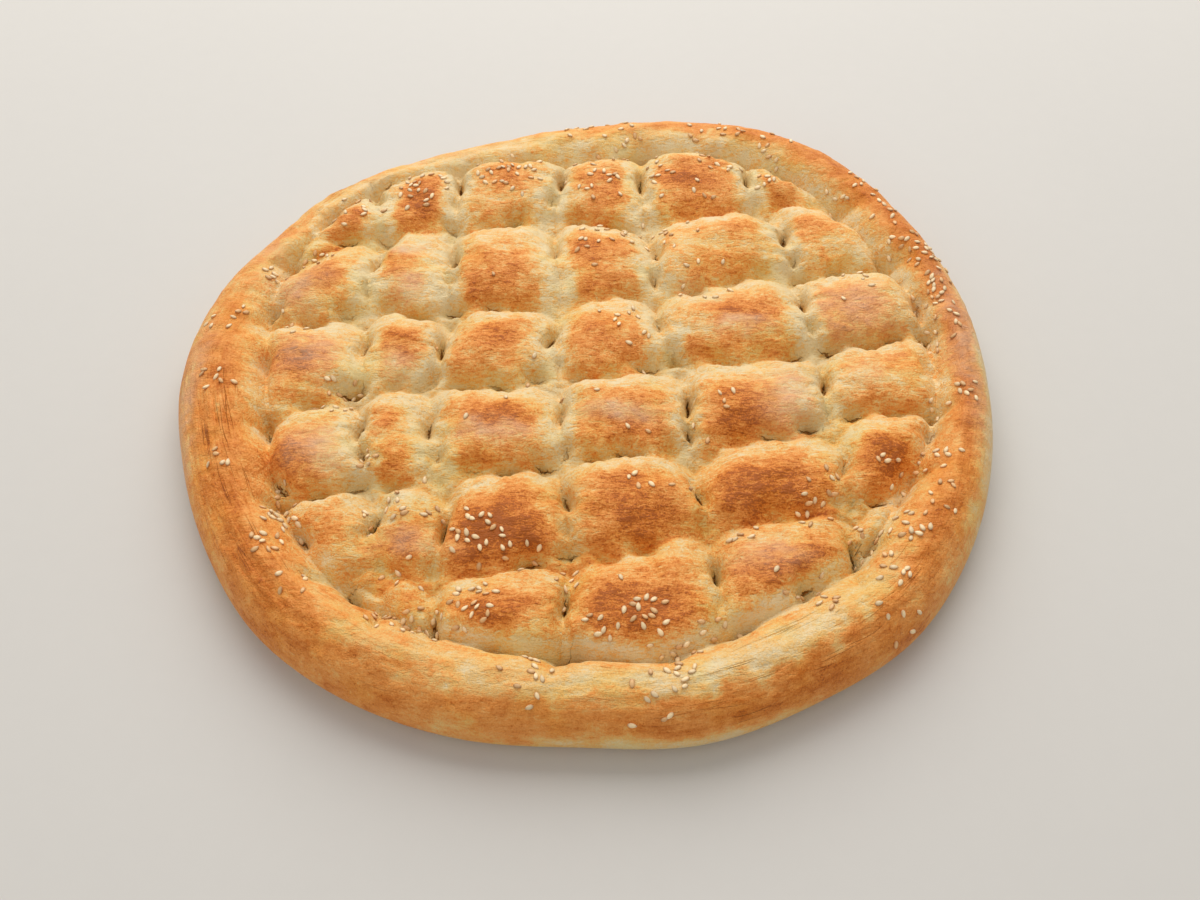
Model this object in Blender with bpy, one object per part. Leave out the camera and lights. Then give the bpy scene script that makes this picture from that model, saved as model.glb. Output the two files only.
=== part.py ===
"""Turkish bread: one flat, roughly round loaf with a plump rim, a quilt of pillows pressed
out by the fingers, and sesame seeds baked onto its crust.

The loaf lies on its flat base at z = 0, centred on the origin, with its rows of pillows along X
and its back towards +Y. Lengths in this file are in millimetres until the mesh is made in metres.
"""

import math

import bmesh
import bpy
import numpy as np
from mathutils import Matrix, Vector
from mathutils.bvhtree import BVHTree

MM = 0.001

# Plan: radius of the widest outline every 15 degrees from +X towards +Y, and how far inside it
# the rim's groove runs, every 30 degrees.
OUTLINE_RADII = (150, 153, 156, 162, 161, 154, 146, 142, 144, 148, 147, 150,
                 150, 147, 147, 149, 148, 146, 144, 148, 149, 152, 151, 150)
OUTLINE_SAMPLES = 1440
RIM_WIDTHS = (20, 24, 25, 26, 16, 18, 33, 28, 29, 25, 29, 28)

# Cross-section of the rim: it curls in to the base below its widest line, rounds over above it
# as far as a share of its width, and falls from there into its groove, which takes away a share of
# the height. Like the widths, heights and cuts are given every 30 degrees.
WIDEST_HEIGHT = 9.0
FOOT_INSET = 8.0
NOSE_SHARE = 0.58
RIM_HEIGHTS = (26, 26, 25, 23, 20, 22, 26, 26, 25, 24, 25, 26)
RIM_CUTS = (0.40, 0.42, 0.44, 0.42, 0.36, 0.34, 0.36, 0.42, 0.50, 0.58, 0.60, 0.46)

# Quilt: y of each row groove at stations along x, and x of each column groove at stations along y.
STATION_STEP = 40.0
ROW_GROOVES = (
    (50, 67, 75, 75, 78, 86, 86),
    (16, 26, 24, 32, 36, 47, 50),
    (-33, -14, -13, -8, -3, 5, 11),
    (-65, -58, -53, -46, -43, -33, -24),
    (-102, -95, -92, -89, -75, -71, -53),
)
COLUMN_GROOVES = (
    (-64, -73, -80, -83, -82, -89),
    (-47, -48, -54, -52, -53, -51),
    (-5, -5, -9, -10, -11, -12),
    (45, 41, 37, 30, 26, 24),
    (90, 92, 89, 85, 81, 70),
)
QUILT_BACK = 120.0
QUILT_FRONT = -126.0
QUILT_HALF_WIDTH = 122.0
PILLOW_GRID = (len(ROW_GROOVES) + 1, len(COLUMN_GROOVES) + 1)

# Pillows: how high they stand, how wide each side slopes towards its groove, how much of the height
# each groove takes away, and how full the sides are towards the rim's, row and column grooves.
PILLOW_HEIGHT = 24.0
PILLOW_LIFT = 1.4
PILLOW_SEED = 4
FLOOR_HEIGHT = 6.0
BACK_SLOPE = 20.0
FRONT_SLOPE = 22.0
LEFT_SLOPE = 14.0
RIGHT_SLOPE = 19.0
RIM_SIDE_SLOPE = 13.0
ROW_CUT = 0.42
COLUMN_CUT = 0.44
RIM_SIDE_POWER = 2.4
ROW_POWER = 1.7
COLUMN_POWER = 1.9
JOIN_POWER = 1.4
FULLNESS = 1.5

# Row grooves arch back over the middle of each pillow.
ROW_ARCH = 4.8
ARCH_BALANCE = 0.4

# Column grooves fade between two row grooves, each stretch by a share of its own.
COLUMN_FADE = 0.20
COLUMN_VARIETY = 0.35
COLUMN_SEED = 9
FADE_POWER = 1.6

# Where the quilt lies lower: x, y, radius and depth of each soft hollow.
SAGS = ((-72, -92, 32, 4.5), (96, 44, 24, 2.0))

# Wander of the grooves off their lines: lengths of the slow swings, of the ripples on them and of
# the short wobble, and how far each of them pushes.
WANDER = 1.8
RIPPLE_SHARE = 0.5
WOBBLE = 0.5
SWING_ACROSS = ((11.0, 0.7), (23.0, 0.2))
SWING_ALONG = ((12.0, 2.1), (26.0, 0.0))
RIPPLE_ACROSS = (9.0, -15.0)
RIPPLE_ALONG = (8.0, 13.0)
WOBBLE_ACROSS = (3.1, 7.0, 1.3)
WOBBLE_ALONG = (2.9, 6.0, 1.7)

# Finger dents: a chain of them just behind each row groove; a slit and a rounder pit in every column
# of every row, at these distances in front of the row's groove; and slits spaced evenly along the
# rim's groove. Half width, half length and depth of each kind, and the share of the depth that varies.
ROW_DENT = (2.7, 5.4, 6.0, 0.9)
ROW_DENT_SPACING = 13.5
ROW_DENT_SHIFT = 0.4
ROW_DENT_SETBACK = 3.4
DENT_LAGS = (16.0, 31.0)
COLUMN_DENTS = ((1.6, 5.8, 8.0, 0.6), (2.3, 3.4, 5.6, 0.8))
RIM_DENT = (2.3, 5.0, 7.5, 0.7)
RIM_DENT_COUNT = 28
DENT_DRIFT = 1.8
DENT_TURN = 0.25
DENT_FULL_SHARE = 1.1
DENT_FLOOR = 0.15
DENT_SEED = 11

# Sesame seeds: patches of the sprinkling as x, y, radius and number of seeds in the whole patch.
# The solid keeps a share of each patch, laid flat and a little sunk in the crust.
SEED_SIZE = (2.9, 1.75, 0.95)
SEED_SIDES = 6
SEED_RINGS = 4
SEED_TAPER = 0.45
SEED_PATCHES = (
    (6, 129, 18, 28), (56, 131, 17, 17), (79, 120, 9, 9), (-32, 102, 16, 27), (-68, 93, 12, 18),
    (-92, 81, 11, 12), (4, 99, 13, 18), (42, 105, 19, 27), (74, 106, 10, 13), (-106, 54, 8, 8),
    (-121, 45, 5, 9), (-135, 21, 8, 9), (-131, -12, 8, 9), (-110, 19, 8, 5), (-89, -16, 10, 18),
    (8, 62, 14, 18), (33, 70, 13, 14), (48, 41, 12, 8), (110, 93, 10, 12), (120, 76, 9, 7),
    (127, 59, 8, 14), (135, 49, 7, 15), (132, 32, 6, 18), (132, 14, 9, 12), (104, 38, 11, 7),
    (16, 20, 12, 8), (133, -18, 8, 16), (50, -20, 7, 5), (-123, -51, 7, 8), (-105, -67, 6, 14),
    (-97, -72, 4, 8), (-102, -83, 6, 13), (-92, -98, 6, 7), (-99, -57, 8, 11), (-75, -45, 4, 9),
    (-67, -67, 9, 17), (-49, -69, 4, 5), (-34, -75, 9, 26), (-19, -83, 8, 9), (-5, -93, 5, 8),
    (-34, -105, 9, 28), (-62, -108, 6, 18), (-50, -110, 8, 22), (-59, -90, 10, 6), (-14, -129, 11, 13),
    (5, -112, 7, 9), (21, -110, 8, 24), (31, -123, 8, 19), (23, -137, 10, 14), (43, -110, 8, 8),
    (52, -75, 7, 7), (23, -59, 8, 5), (78, -67, 7, 11), (83, -56, 7, 7), (106, -51, 7, 9),
    (123, -45, 7, 11), (120, -65, 7, 11), (94, -78, 7, 11), (108, -77, 7, 14), (99, -93, 7, 13),
    (80, -102, 6, 9), (100, -108, 8, 7), (70, -94, 8, 6), (0, 14, 60, 10), (0, -56, 70, 12),
)
SEED_SHARE = 0.15
FEWEST_SEEDS = 1
SEED_SPACING = 3.8
SEED_LIFT = 0.22
SEED_DRAW = 5
DROP_HEIGHT = 60.0

# Mesh: a fine grid is bent to the loaf and then thinned where the crust is smooth.
GRID_SEGMENTS = 180
EDGE_CROWDING = 0.08
FOOT_RINGS = 6
CRUST_TRIANGLES = 6300
CREASE_ANGLE = 50.0


def smooth_through(values, place, closed):
    """Smooth curve through evenly spaced values, read at places counted in steps from the first."""
    values = np.asarray(values, float)
    last = len(values) - 1
    place = np.asarray(place, float) % len(values) if closed else np.clip(place, 0, last)
    first = np.floor(place).astype(int) if closed else np.minimum(place.astype(int), last - 1)
    t = place - first

    def value(index):
        return values[index % len(values)] if closed else values[np.clip(index, 0, last)]

    before, here, after, beyond = (value(first + step) for step in (-1, 0, 1, 2))
    bend = 2 * before - 5 * here + 4 * after - beyond
    twist = 3 * (here - after) + beyond - before
    return here + 0.5 * t * (after - before + t * (bend + t * twist))


def around_rim(values, angle):
    return smooth_through(values, angle / math.tau * len(values), closed=True)


def outline_centre():
    """Middle of the outline's box, which is put on the origin."""
    angle = np.linspace(0, math.tau, OUTLINE_SAMPLES, endpoint=False)
    radius = around_rim(OUTLINE_RADII, angle)
    across, along = radius * np.cos(angle), radius * np.sin(angle)
    return (across.max() + across.min()) / 2, (along.max() + along.min()) / 2


CENTRE = outline_centre()


def polar(x, y):
    """Angle around the loaf and distance inside its outline."""
    x, y = x + CENTRE[0], y + CENTRE[1]
    angle = np.arctan2(y, x)
    return angle, around_rim(OUTLINE_RADII, angle) - np.hypot(x, y)


def plan_point(angle, inside):
    radius = around_rim(OUTLINE_RADII, angle) - inside
    return radius * np.cos(angle) - CENTRE[0], radius * np.sin(angle) - CENTRE[1]


def row_lines(x):
    """The y of the rim's groove at the back, the row grooves, and the rim's groove in front."""
    place = x / STATION_STEP + (len(ROW_GROOVES[0]) - 1) / 2
    rows = [smooth_through(row, place, closed=False) for row in ROW_GROOVES]
    return np.stack([np.full_like(x, QUILT_BACK), *rows, np.full_like(x, QUILT_FRONT)])


def column_lines(y):
    place = y / STATION_STEP + (len(COLUMN_GROOVES[0]) - 1) / 2
    return np.stack([smooth_through(column, place, closed=False) for column in COLUMN_GROOVES])


def nearness(distance, slope):
    """1 on a groove's line, falling evenly to 0 where its slope ends."""
    return np.clip(1 - np.abs(distance) / slope, 0, 1)


def nearest_slope(distances, above, below):
    """Nearness to the nearest groove, whose two sides slope over different widths."""
    return nearness(distances, np.where(distances > 0, above, below)).max(axis=0)


def swing(place, other, waves):
    """Slow swing between -1 and 1 along a place, which itself comes and goes across it."""
    (length, phase), (other_length, other_phase) = waves
    return np.sin(place / length + phase) * np.cos(other / other_length + other_phase)


def wobble(place, other, wave):
    """Short wobble along a place, its phase pushed about across it."""
    length, other_length, push = wave
    return np.sin(place / length + push * np.sin(other / other_length))


def wander(x, y):
    """Plan places pushed a little off a regular pattern, as hand-shaped dough is."""
    across = swing(y, x, SWING_ACROSS)
    across += RIPPLE_SHARE * np.sin(x / RIPPLE_ACROSS[0] + y / RIPPLE_ACROSS[1])
    along = swing(x, y, SWING_ALONG)
    along += RIPPLE_SHARE * np.sin(x / RIPPLE_ALONG[0] + y / RIPPLE_ALONG[1])
    return (x + WANDER * across + WOBBLE * wobble(y, x, WOBBLE_ACROSS),
            y + WANDER * along + WOBBLE * wobble(x, y, WOBBLE_ALONG))


def column_dents():
    """Dents in each column groove of every row: place, heading and sizes."""
    for column in range(len(COLUMN_GROOVES)):
        for row in range(len(ROW_GROOVES) + 1):
            for lag, sizes in zip(DENT_LAGS, COLUMN_DENTS):
                x = column_lines(np.zeros(1))[column, 0]
                for _ in range(2):
                    y = row_lines(np.array([x]))[row, 0] - lag
                    x = column_lines(np.array([y]))[column, 0]
                yield x, y, math.pi / 2, *sizes


def row_dents():
    """Dents side by side along each row groove, from the left of the quilt to its right."""
    for row in range(len(ROW_GROOVES)):
        for x in np.arange(-QUILT_HALF_WIDTH, QUILT_HALF_WIDTH + 1, ROW_DENT_SPACING):
            here = np.array([x + ROW_DENT_SHIFT * row * ROW_DENT_SPACING])
            yield here[0], row_lines(here)[row + 1, 0] + ROW_DENT_SETBACK, 0.0, *ROW_DENT


def rim_dents():
    """Slits spaced evenly along the rim's groove."""
    for angle in np.arange(RIM_DENT_COUNT) * math.tau / RIM_DENT_COUNT:
        x, y = plan_point(angle, around_rim(RIM_WIDTHS, angle))
        yield x, y, angle + math.pi / 2, *RIM_DENT


def finger_dents():
    """Place, heading, half width, half length and depth of all the finger dents, each a little
    off its line and of its own depth, as a hand sets them."""
    draw = np.random.default_rng(DENT_SEED)
    dents = np.array([*row_dents(), *column_dents(), *rim_dents()])
    dents[:, :2] += draw.uniform(-DENT_DRIFT, DENT_DRIFT, (len(dents), 2))
    dents[:, 2] += draw.uniform(-DENT_TURN, DENT_TURN, len(dents))
    dents[:, 5] *= DENT_FULL_SHARE - dents[:, 6] * draw.random(len(dents))
    return dents[:, :6]


DENTS = finger_dents()
LIFTS = np.random.default_rng(PILLOW_SEED).uniform(-PILLOW_LIFT, PILLOW_LIFT, PILLOW_GRID)
COLUMN_FADES = COLUMN_FADE + COLUMN_VARIETY * np.random.default_rng(COLUMN_SEED).random(
    (PILLOW_GRID[0], len(COLUMN_GROOVES)))


def dent_depth(x, y):
    """How deep the finger dents press at plan places."""
    pressed = np.zeros(len(x))
    for dent_x, dent_y, heading, half_width, half_length, depth in DENTS:
        along = (x - dent_x) * math.cos(heading) + (y - dent_y) * math.sin(heading)
        across = (y - dent_y) * math.cos(heading) - (x - dent_x) * math.sin(heading)
        pressed += depth * np.exp(-(along / half_length) ** 2 - (across / half_width) ** 2)
    return pressed


def crust_height(x, y):
    """Height of the crust above the base at places inside the outline."""
    angle, inside = polar(x, y)
    width = around_rim(RIM_WIDTHS, angle)
    nose = NOSE_SHARE * width
    x, y = wander(x, y)

    columns = x - column_lines(y)
    column = nearest_slope(columns, LEFT_SLOPE, RIGHT_SLOPE)
    lines = row_lines(x)
    lines[1:-1] += ROW_ARCH * (ARCH_BALANCE - column ** 2)
    rows = y - lines[1:-1]
    row = nearest_slope(rows, FRONT_SLOPE, BACK_SLOPE)
    rim = nearness(inside - width, np.where(inside > width, RIM_SIDE_SLOPE, width - nose))

    row_band, column_band = (rows < 0).sum(axis=0), (columns > 0).sum(axis=0)
    picked = np.arange(len(x))
    behind, ahead = lines[row_band, picked], lines[row_band + 1, picked]
    forward = np.clip((behind - y) / (behind - ahead), 0, 1)
    groove = np.abs(columns).argmin(axis=0)
    fade = np.sin(math.pi * forward ** FADE_POWER) * COLUMN_FADES[row_band, groove]

    quilted = np.clip((inside - nose) / (width - nose), 0, 1)
    cuts = (quilted * COLUMN_CUT * (1 - fade) * column ** COLUMN_POWER,
            quilted * ROW_CUT * row ** ROW_POWER,
            around_rim(RIM_CUTS, angle) * rim ** RIM_SIDE_POWER)
    cut = sum(part ** JOIN_POWER for part in cuts) ** (1 / JOIN_POWER)
    full = (1 - np.clip(cut, 0, 1)) ** (1 / FULLNESS)
    rim_height = around_rim(RIM_HEIGHTS, angle)
    sag = sum(depth * np.exp(-((x - sag_x) ** 2 + (y - sag_y) ** 2) / radius ** 2)
              for sag_x, sag_y, radius, depth in SAGS)
    pillow_top = PILLOW_HEIGHT + LIFTS[row_band, column_band] * full - sag
    top = rim_height + quilted * (pillow_top - rim_height)
    height = FLOOR_HEIGHT + (top - FLOOR_HEIGHT) * full - quilted * dent_depth(x, y)
    height = np.maximum(height, FLOOR_HEIGHT + DENT_FLOOR * (height - FLOOR_HEIGHT))

    rounding = np.sqrt(1 - (1 - np.clip(inside / nose, 0, 1)) ** 2)
    return WIDEST_HEIGHT + (height - WIDEST_HEIGHT) * rounding


def bend_grid_to_loaf(bm):
    """Turn a square grid between -1 and 1 into the loaf's top, its border on the widest line."""
    corners = np.array([vert.co for vert in bm.verts])
    a, b = corners[:, 0], corners[:, 1]
    share = np.maximum(np.abs(a), np.abs(b))
    safe_a = np.where(a == 0, 1, a)
    safe_b = np.where(b == 0, 1, b)
    angle = np.where(np.abs(a) > np.abs(b), math.pi / 4 * b / safe_a + np.where(a < 0, math.pi, 0),
                     math.pi / 2 - math.pi / 4 * a / safe_b + np.where(b < 0, math.pi, 0))
    edge = 1 - share
    inside = around_rim(OUTLINE_RADII, angle) * edge ** 2 * (1 + EDGE_CROWDING) / (edge + EDGE_CROWDING)
    x, y = plan_point(angle, inside)
    z = crust_height(x, y)
    for vert, place in zip(bm.verts, np.stack([x, y, z], axis=1)):
        vert.co = Vector(place) * MM


def curl_under(bm):
    """Extrude the border down round the rim's underside to the base."""
    border = [edge for edge in bm.edges if edge.is_boundary]
    for ring in range(1, FOOT_RINGS + 1):
        turn = math.pi / 2 * ring / FOOT_RINGS
        grown = bmesh.ops.extrude_edge_only(bm, edges=border)["geom"]
        border = [item for item in grown if isinstance(item, bmesh.types.BMEdge)]
        for vert in (item for item in grown if isinstance(item, bmesh.types.BMVert)):
            angle = math.atan2(vert.co.y / MM + CENTRE[1], vert.co.x / MM + CENTRE[0])
            x, y = plan_point(angle, FOOT_INSET * (1 - math.cos(turn)))
            vert.co = Vector((x, y, WIDEST_HEIGHT * (1 - math.sin(turn)))) * MM


def add_object(name, bm, material):
    mesh = bpy.data.meshes.new(name)
    bm.to_mesh(mesh)
    bm.free()
    mesh.materials.append(material)
    thing = bpy.data.objects.new(name, mesh)
    bpy.context.scene.collection.objects.link(thing)
    return thing


def apply_modifiers(thing):
    """Replace the object's mesh with the one its modifiers give."""
    evaluated = thing.evaluated_get(bpy.context.evaluated_depsgraph_get())
    mesh = bpy.data.meshes.new_from_object(evaluated)
    thing.modifiers.clear()
    thing.data = mesh


def close_base(thing):
    """Flatten the rim's foot onto the base plane and close it with one flat face."""
    bm = bmesh.new()
    bm.from_mesh(thing.data)
    border = [edge for edge in bm.edges if edge.is_boundary]
    for vert in {vert for edge in border for vert in edge.verts}:
        vert.co.z = 0.0
    bmesh.ops.holes_fill(bm, edges=border, sides=0)
    bmesh.ops.recalc_face_normals(bm, faces=bm.faces)
    bm.to_mesh(thing.data)
    bm.free()


def make_crust(material):
    bm = bmesh.new()
    bmesh.ops.create_grid(bm, x_segments=GRID_SEGMENTS, y_segments=GRID_SEGMENTS, size=1)
    bend_grid_to_loaf(bm)
    curl_under(bm)
    bmesh.ops.triangulate(bm, faces=bm.faces)
    fine = len(bm.faces)
    crust = add_object("bread", bm, material)
    thin = crust.modifiers.new("thin", "DECIMATE")
    thin.ratio = CRUST_TRIANGLES / fine
    apply_modifiers(crust)
    close_base(crust)
    return crust


def seed_mesh(material):
    """One sesame seed lying flat, its narrow end towards +X."""
    bm = bmesh.new()
    bmesh.ops.create_uvsphere(bm, u_segments=SEED_SIDES, v_segments=SEED_RINGS, radius=0.5)
    for vert in bm.verts:
        taper = 1 - SEED_TAPER * (vert.co.x + 0.5) ** 2
        vert.co = Vector((vert.co.x * SEED_SIZE[0], vert.co.y * SEED_SIZE[1] * taper,
                          vert.co.z * SEED_SIZE[2])) * MM
    mesh = bpy.data.meshes.new("sesame_seed")
    bm.to_mesh(mesh)
    bm.free()
    mesh.materials.append(material)
    return mesh


def seed_places():
    """Plan places and headings of the seeds that the solid keeps, spread through every patch."""
    draw = np.random.default_rng(SEED_DRAW)
    kept = []
    for patch_x, patch_y, patch_radius, count in SEED_PATCHES:
        draws = draw.random((count, 3))
        for spread, turn, heading in draws[:max(FEWEST_SEEDS, round(count * SEED_SHARE))]:
            reach, turn = patch_radius * math.sqrt(spread), math.tau * turn
            x, y = patch_x + reach * math.cos(turn), patch_y + reach * math.sin(turn)
            if all(math.hypot(x - other[0], y - other[1]) > SEED_SPACING for other in kept):
                kept.append((x, y, math.tau * heading))
    return kept


def lay_seeds(crust, material):
    """Collection of seeds that lie on the crust, each sunk a little into it."""
    surface = BVHTree.FromObject(crust, bpy.context.evaluated_depsgraph_get())
    mesh = seed_mesh(material)
    seeds = bpy.data.collections.new("seeds")
    bpy.context.scene.collection.children.link(seeds)
    for x, y, heading in seed_places():
        above = Vector((x, y, DROP_HEIGHT)) * MM
        place, normal, _, _ = surface.ray_cast(above, Vector((0, 0, -1)))
        if place is None:
            raise ValueError(f"the seed at {x:.1f}, {y:.1f} misses the crust")
        seed = bpy.data.objects.new("seed", mesh)
        lie = normal.to_track_quat("Z", "X").to_matrix().to_4x4()
        middle = place + normal * SEED_LIFT * MM
        seed.matrix_world = Matrix.Translation(middle) @ lie @ Matrix.Rotation(heading, 4, "Z")
        seeds.objects.link(seed)
    return seeds


def join_seeds(crust, seeds):
    """Join the seeds to the crust with one union, and remove what it was cut from."""
    union = crust.modifiers.new("seeds", "BOOLEAN")
    union.operation = "UNION"
    union.operand_type = "COLLECTION"
    union.collection = seeds
    apply_modifiers(crust)
    for seed in list(seeds.objects):
        bpy.data.objects.remove(seed)
    bpy.data.collections.remove(seeds)


def make_material():
    material = bpy.data.materials.new("golden_crust")
    material.use_nodes = True
    surface = material.node_tree.nodes["Principled BSDF"]
    surface.inputs["Base Color"].default_value = (0.78, 0.48, 0.21, 1)
    surface.inputs["Roughness"].default_value = 0.6
    surface.inputs["Metallic"].default_value = 0.0
    return material


def main():
    for thing in list(bpy.data.objects):
        bpy.data.objects.remove(thing)
    material = make_material()
    bread = make_crust(material)
    join_seeds(bread, lay_seeds(bread, material))
    bread.data.shade_smooth()
    bread.data.set_sharp_from_angle(angle=math.radians(CREASE_ANGLE))


main()
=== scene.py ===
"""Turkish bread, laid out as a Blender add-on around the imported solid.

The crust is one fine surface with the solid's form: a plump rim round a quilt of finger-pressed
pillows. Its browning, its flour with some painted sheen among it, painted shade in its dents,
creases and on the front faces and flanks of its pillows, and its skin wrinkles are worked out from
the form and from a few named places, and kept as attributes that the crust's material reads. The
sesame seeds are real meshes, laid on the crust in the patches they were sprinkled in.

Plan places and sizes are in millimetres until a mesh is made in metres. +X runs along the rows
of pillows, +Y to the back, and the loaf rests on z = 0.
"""

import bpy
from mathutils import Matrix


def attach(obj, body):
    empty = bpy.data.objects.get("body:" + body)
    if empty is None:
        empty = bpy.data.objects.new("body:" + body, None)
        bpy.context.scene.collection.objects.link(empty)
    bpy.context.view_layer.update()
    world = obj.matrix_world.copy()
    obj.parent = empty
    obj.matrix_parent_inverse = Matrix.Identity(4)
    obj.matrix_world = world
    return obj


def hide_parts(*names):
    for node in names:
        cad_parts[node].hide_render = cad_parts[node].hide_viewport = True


bl_info = {
    "name": "Turkish Bread",
    "version": (1, 0, 0),
    "blender": (4, 5, 0),
    "location": "3D View > Sidebar > Bread",
    "description": "Flat loaf with finger-pressed pillows, a browned crust and sesame seeds",
    "category": "Object",
}

import math

import bmesh
import bpy
import numpy as np
from bpy.props import FloatProperty, FloatVectorProperty, PointerProperty
from mathutils import Euler, Matrix, Vector
from mathutils.bvhtree import BVHTree

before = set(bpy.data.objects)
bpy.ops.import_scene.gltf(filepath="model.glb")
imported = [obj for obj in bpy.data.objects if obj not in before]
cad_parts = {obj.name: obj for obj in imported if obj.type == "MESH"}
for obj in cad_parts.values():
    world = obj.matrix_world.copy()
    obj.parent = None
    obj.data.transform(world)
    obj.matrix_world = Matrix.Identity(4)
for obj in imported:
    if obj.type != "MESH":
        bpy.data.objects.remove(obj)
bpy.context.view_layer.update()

MM = 0.001

# Form of the loaf, the same driving sizes as the solid's. Radii of the widest outline every
# 15 degrees from +X towards +Y; the rim's width, its height and the share of it that its groove
# takes away every 30 degrees. The nose is the rounded outer part of the rim's width.
OUTLINE_RADII = (150, 153, 156, 162, 161, 154, 146, 142, 144, 148, 147, 150,
                 150, 147, 147, 149, 148, 146, 144, 148, 149, 152, 151, 150)
OUTLINE_SAMPLES = 1440
RIM_WIDTHS = (20, 24, 25, 26, 16, 18, 33, 28, 29, 25, 29, 28)
RIM_HEIGHTS = (26, 26, 25, 23, 20, 22, 26, 26, 25, 24, 25, 26)
RIM_CUTS = (0.40, 0.42, 0.44, 0.42, 0.36, 0.34, 0.36, 0.42, 0.50, 0.58, 0.60, 0.46)
WIDEST_HEIGHT = 9.0
FOOT_INSET = 8.0
NOSE_SHARE = 0.58

# Grooves of the quilt: y of each row groove at stations along x, x of each column groove along y.
STATION_STEP = 40.0
ROW_GROOVES = (
    (50, 67, 75, 75, 78, 86, 86),
    (16, 26, 24, 32, 36, 47, 50),
    (-33, -14, -13, -8, -3, 5, 11),
    (-65, -58, -53, -46, -43, -33, -24),
    (-102, -95, -92, -89, -75, -71, -53),
)
COLUMN_GROOVES = (
    (-64, -73, -80, -83, -82, -89),
    (-47, -48, -54, -52, -53, -51),
    (-5, -5, -9, -10, -11, -12),
    (45, 41, 37, 30, 26, 24),
    (90, 92, 89, 85, 81, 70),
)
QUILT_BACK = 120.0
QUILT_FRONT = -126.0
QUILT_HALF_WIDTH = 122.0

# Pillows: how much their heights vary, how wide each side slopes towards its groove, how much of
# the height each groove takes away, and how full the sides are towards the rim's, row and column
# grooves.
PILLOW_GRID = (len(ROW_GROOVES) + 1, len(COLUMN_GROOVES) + 1)
PILLOW_LIFT = 1.4
PILLOW_SEED = 4
BACK_SLOPE = 20.0
FRONT_SLOPE = 22.0
LEFT_SLOPE = 14.0
RIGHT_SLOPE = 19.0
RIM_SIDE_SLOPE = 13.0
ROW_CUT = 0.42
COLUMN_CUT = 0.44
RIM_SIDE_POWER = 2.4
ROW_POWER = 1.7
COLUMN_POWER = 1.9
JOIN_POWER = 1.4
FULLNESS = 1.5

# Row grooves arch back over the middle of each pillow.
ROW_ARCH = 4.8
ARCH_BALANCE = 0.4

# Column grooves fade between two row grooves, each stretch by a share of its own.
COLUMN_FADE = 0.20
COLUMN_VARIETY = 0.35
COLUMN_SEED = 9
FADE_POWER = 1.6

# Where the quilt lies lower: x, y, radius and depth of each soft hollow.
SAGS = ((-72, -92, 32, 4.5), (96, 44, 24, 2.0))

# Wander of the grooves off their lines: lengths of the slow swings, of the ripples on them and of
# the short wobble, and how far each of them pushes.
WANDER = 1.8
RIPPLE_SHARE = 0.5
WOBBLE = 0.5
SWING_ACROSS = ((11.0, 0.7), (23.0, 0.2))
SWING_ALONG = ((12.0, 2.1), (26.0, 0.0))
RIPPLE_ACROSS = (9.0, -15.0)
RIPPLE_ALONG = (8.0, 13.0)
WOBBLE_ACROSS = (3.1, 7.0, 1.3)
WOBBLE_ALONG = (2.9, 6.0, 1.7)

# Finger dents: a chain of them just behind each row groove; a slit and a rounder pit in every
# column of every row, at these distances in front of the row's groove; and slits spaced evenly
# along the rim's groove. Half width, half length and depth of each kind, and the share of the depth
# that varies.
ROW_DENT = (2.7, 5.4, 6.0, 0.9)
ROW_DENT_SPACING = 13.5
ROW_DENT_SHIFT = 0.4
ROW_DENT_SETBACK = 3.4
DENT_LAGS = (16.0, 31.0)
COLUMN_DENTS = ((1.6, 5.8, 8.0, 0.6), (2.3, 3.4, 5.6, 0.8))
RIM_DENT = (2.3, 5.0, 7.5, 0.7)
RIM_DENT_COUNT = 28
DENT_DRIFT = 1.8
DENT_TURN = 0.25
DENT_FULL_SHARE = 1.1
DENT_FLOOR = 0.15
DENT_SEED = 11

# Crease that the skin folds into along the grooves: how far behind the groove's line it runs, its
# half width, and the fade of the noise that breaks it up.
CREASE_SETBACK = 1.2
CREASE_HALF_WIDTH = 1.1
CREASE_FADE = (-0.5, 0.5)

# Puckers of the skin round each finger dent: the depth at which they are full, their number, how
# far they reach beyond the dent, and how they turn with its depth.
FULL_DENT = 7.0
PUCKERS = 6
PUCKER_REACH = 9.0
PUCKER_TURN = 5.0

# Torn slit at the bottom of each finger dent: how far from a dent's middle it may show, the share
# of that within which it is whole, and its length as a share of the dent's.
SLIT_REACH = 5.5
SLIT_WHOLE_SHARE = 0.6
SLIT_SHARE = 0.75

# Relief of the skin, as noise: size along X and along Y, seed and number of layers. The rim's lines
# run along it instead of X, and are left out where the ends of the noise would meet.
LUMPS = (19, 15, 31, 4)
SKIN_WRINKLES = (9, 3, 47, 3)
FOLD_LINES = (6, 6, 53, 2)
RIM_LINES = (26, 2.8, 59, 2)
CREASE_GAPS = (12, 12, 67, 2)
FOLD_SHARPNESS = 3.0
RIM_SHARPNESS = 3.2
FOLD_FADE = (0.98, 0.7)
RIM_TOP_FADE = (0.0, 0.35)
SEAM_FADE = (0.0, 0.12)
RIM_RADIUS = 150.0

# How wrinkled the rim is: everywhere, at the left up to its last angle in radians, and at the front
# right. Middle and spread of each place are in degrees.
RIM_WRINKLING = 0.25
LEFT_WRINKLES = (180, 55)
LEFT_WRINKLES_END = 2.6
FRONT_RIGHT_WRINKLES = (-62, 26)
FRONT_RIGHT_SHARE = 0.6

# Grain that follows the rim in its material: its turns round the loaf, and its width.
RIM_GRAIN_TURNS = 6.0
RIM_GRAIN_WIDTH = 2.4

# Mesh of the crust: a square grid bent to the loaf, rings that curl under the rim, and rings that
# close the base, as shares of the foot's radius. An edge that turns by more than the last angle, in
# degrees, stays sharp.
GRID_CELLS = 280
EDGE_CROWDING = 0.08
FOOT_RINGS = 8
BASE_RINGS = (0.94, 0.8, 0.6, 0.35)
CREASE_ANGLE = 50.0

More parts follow.
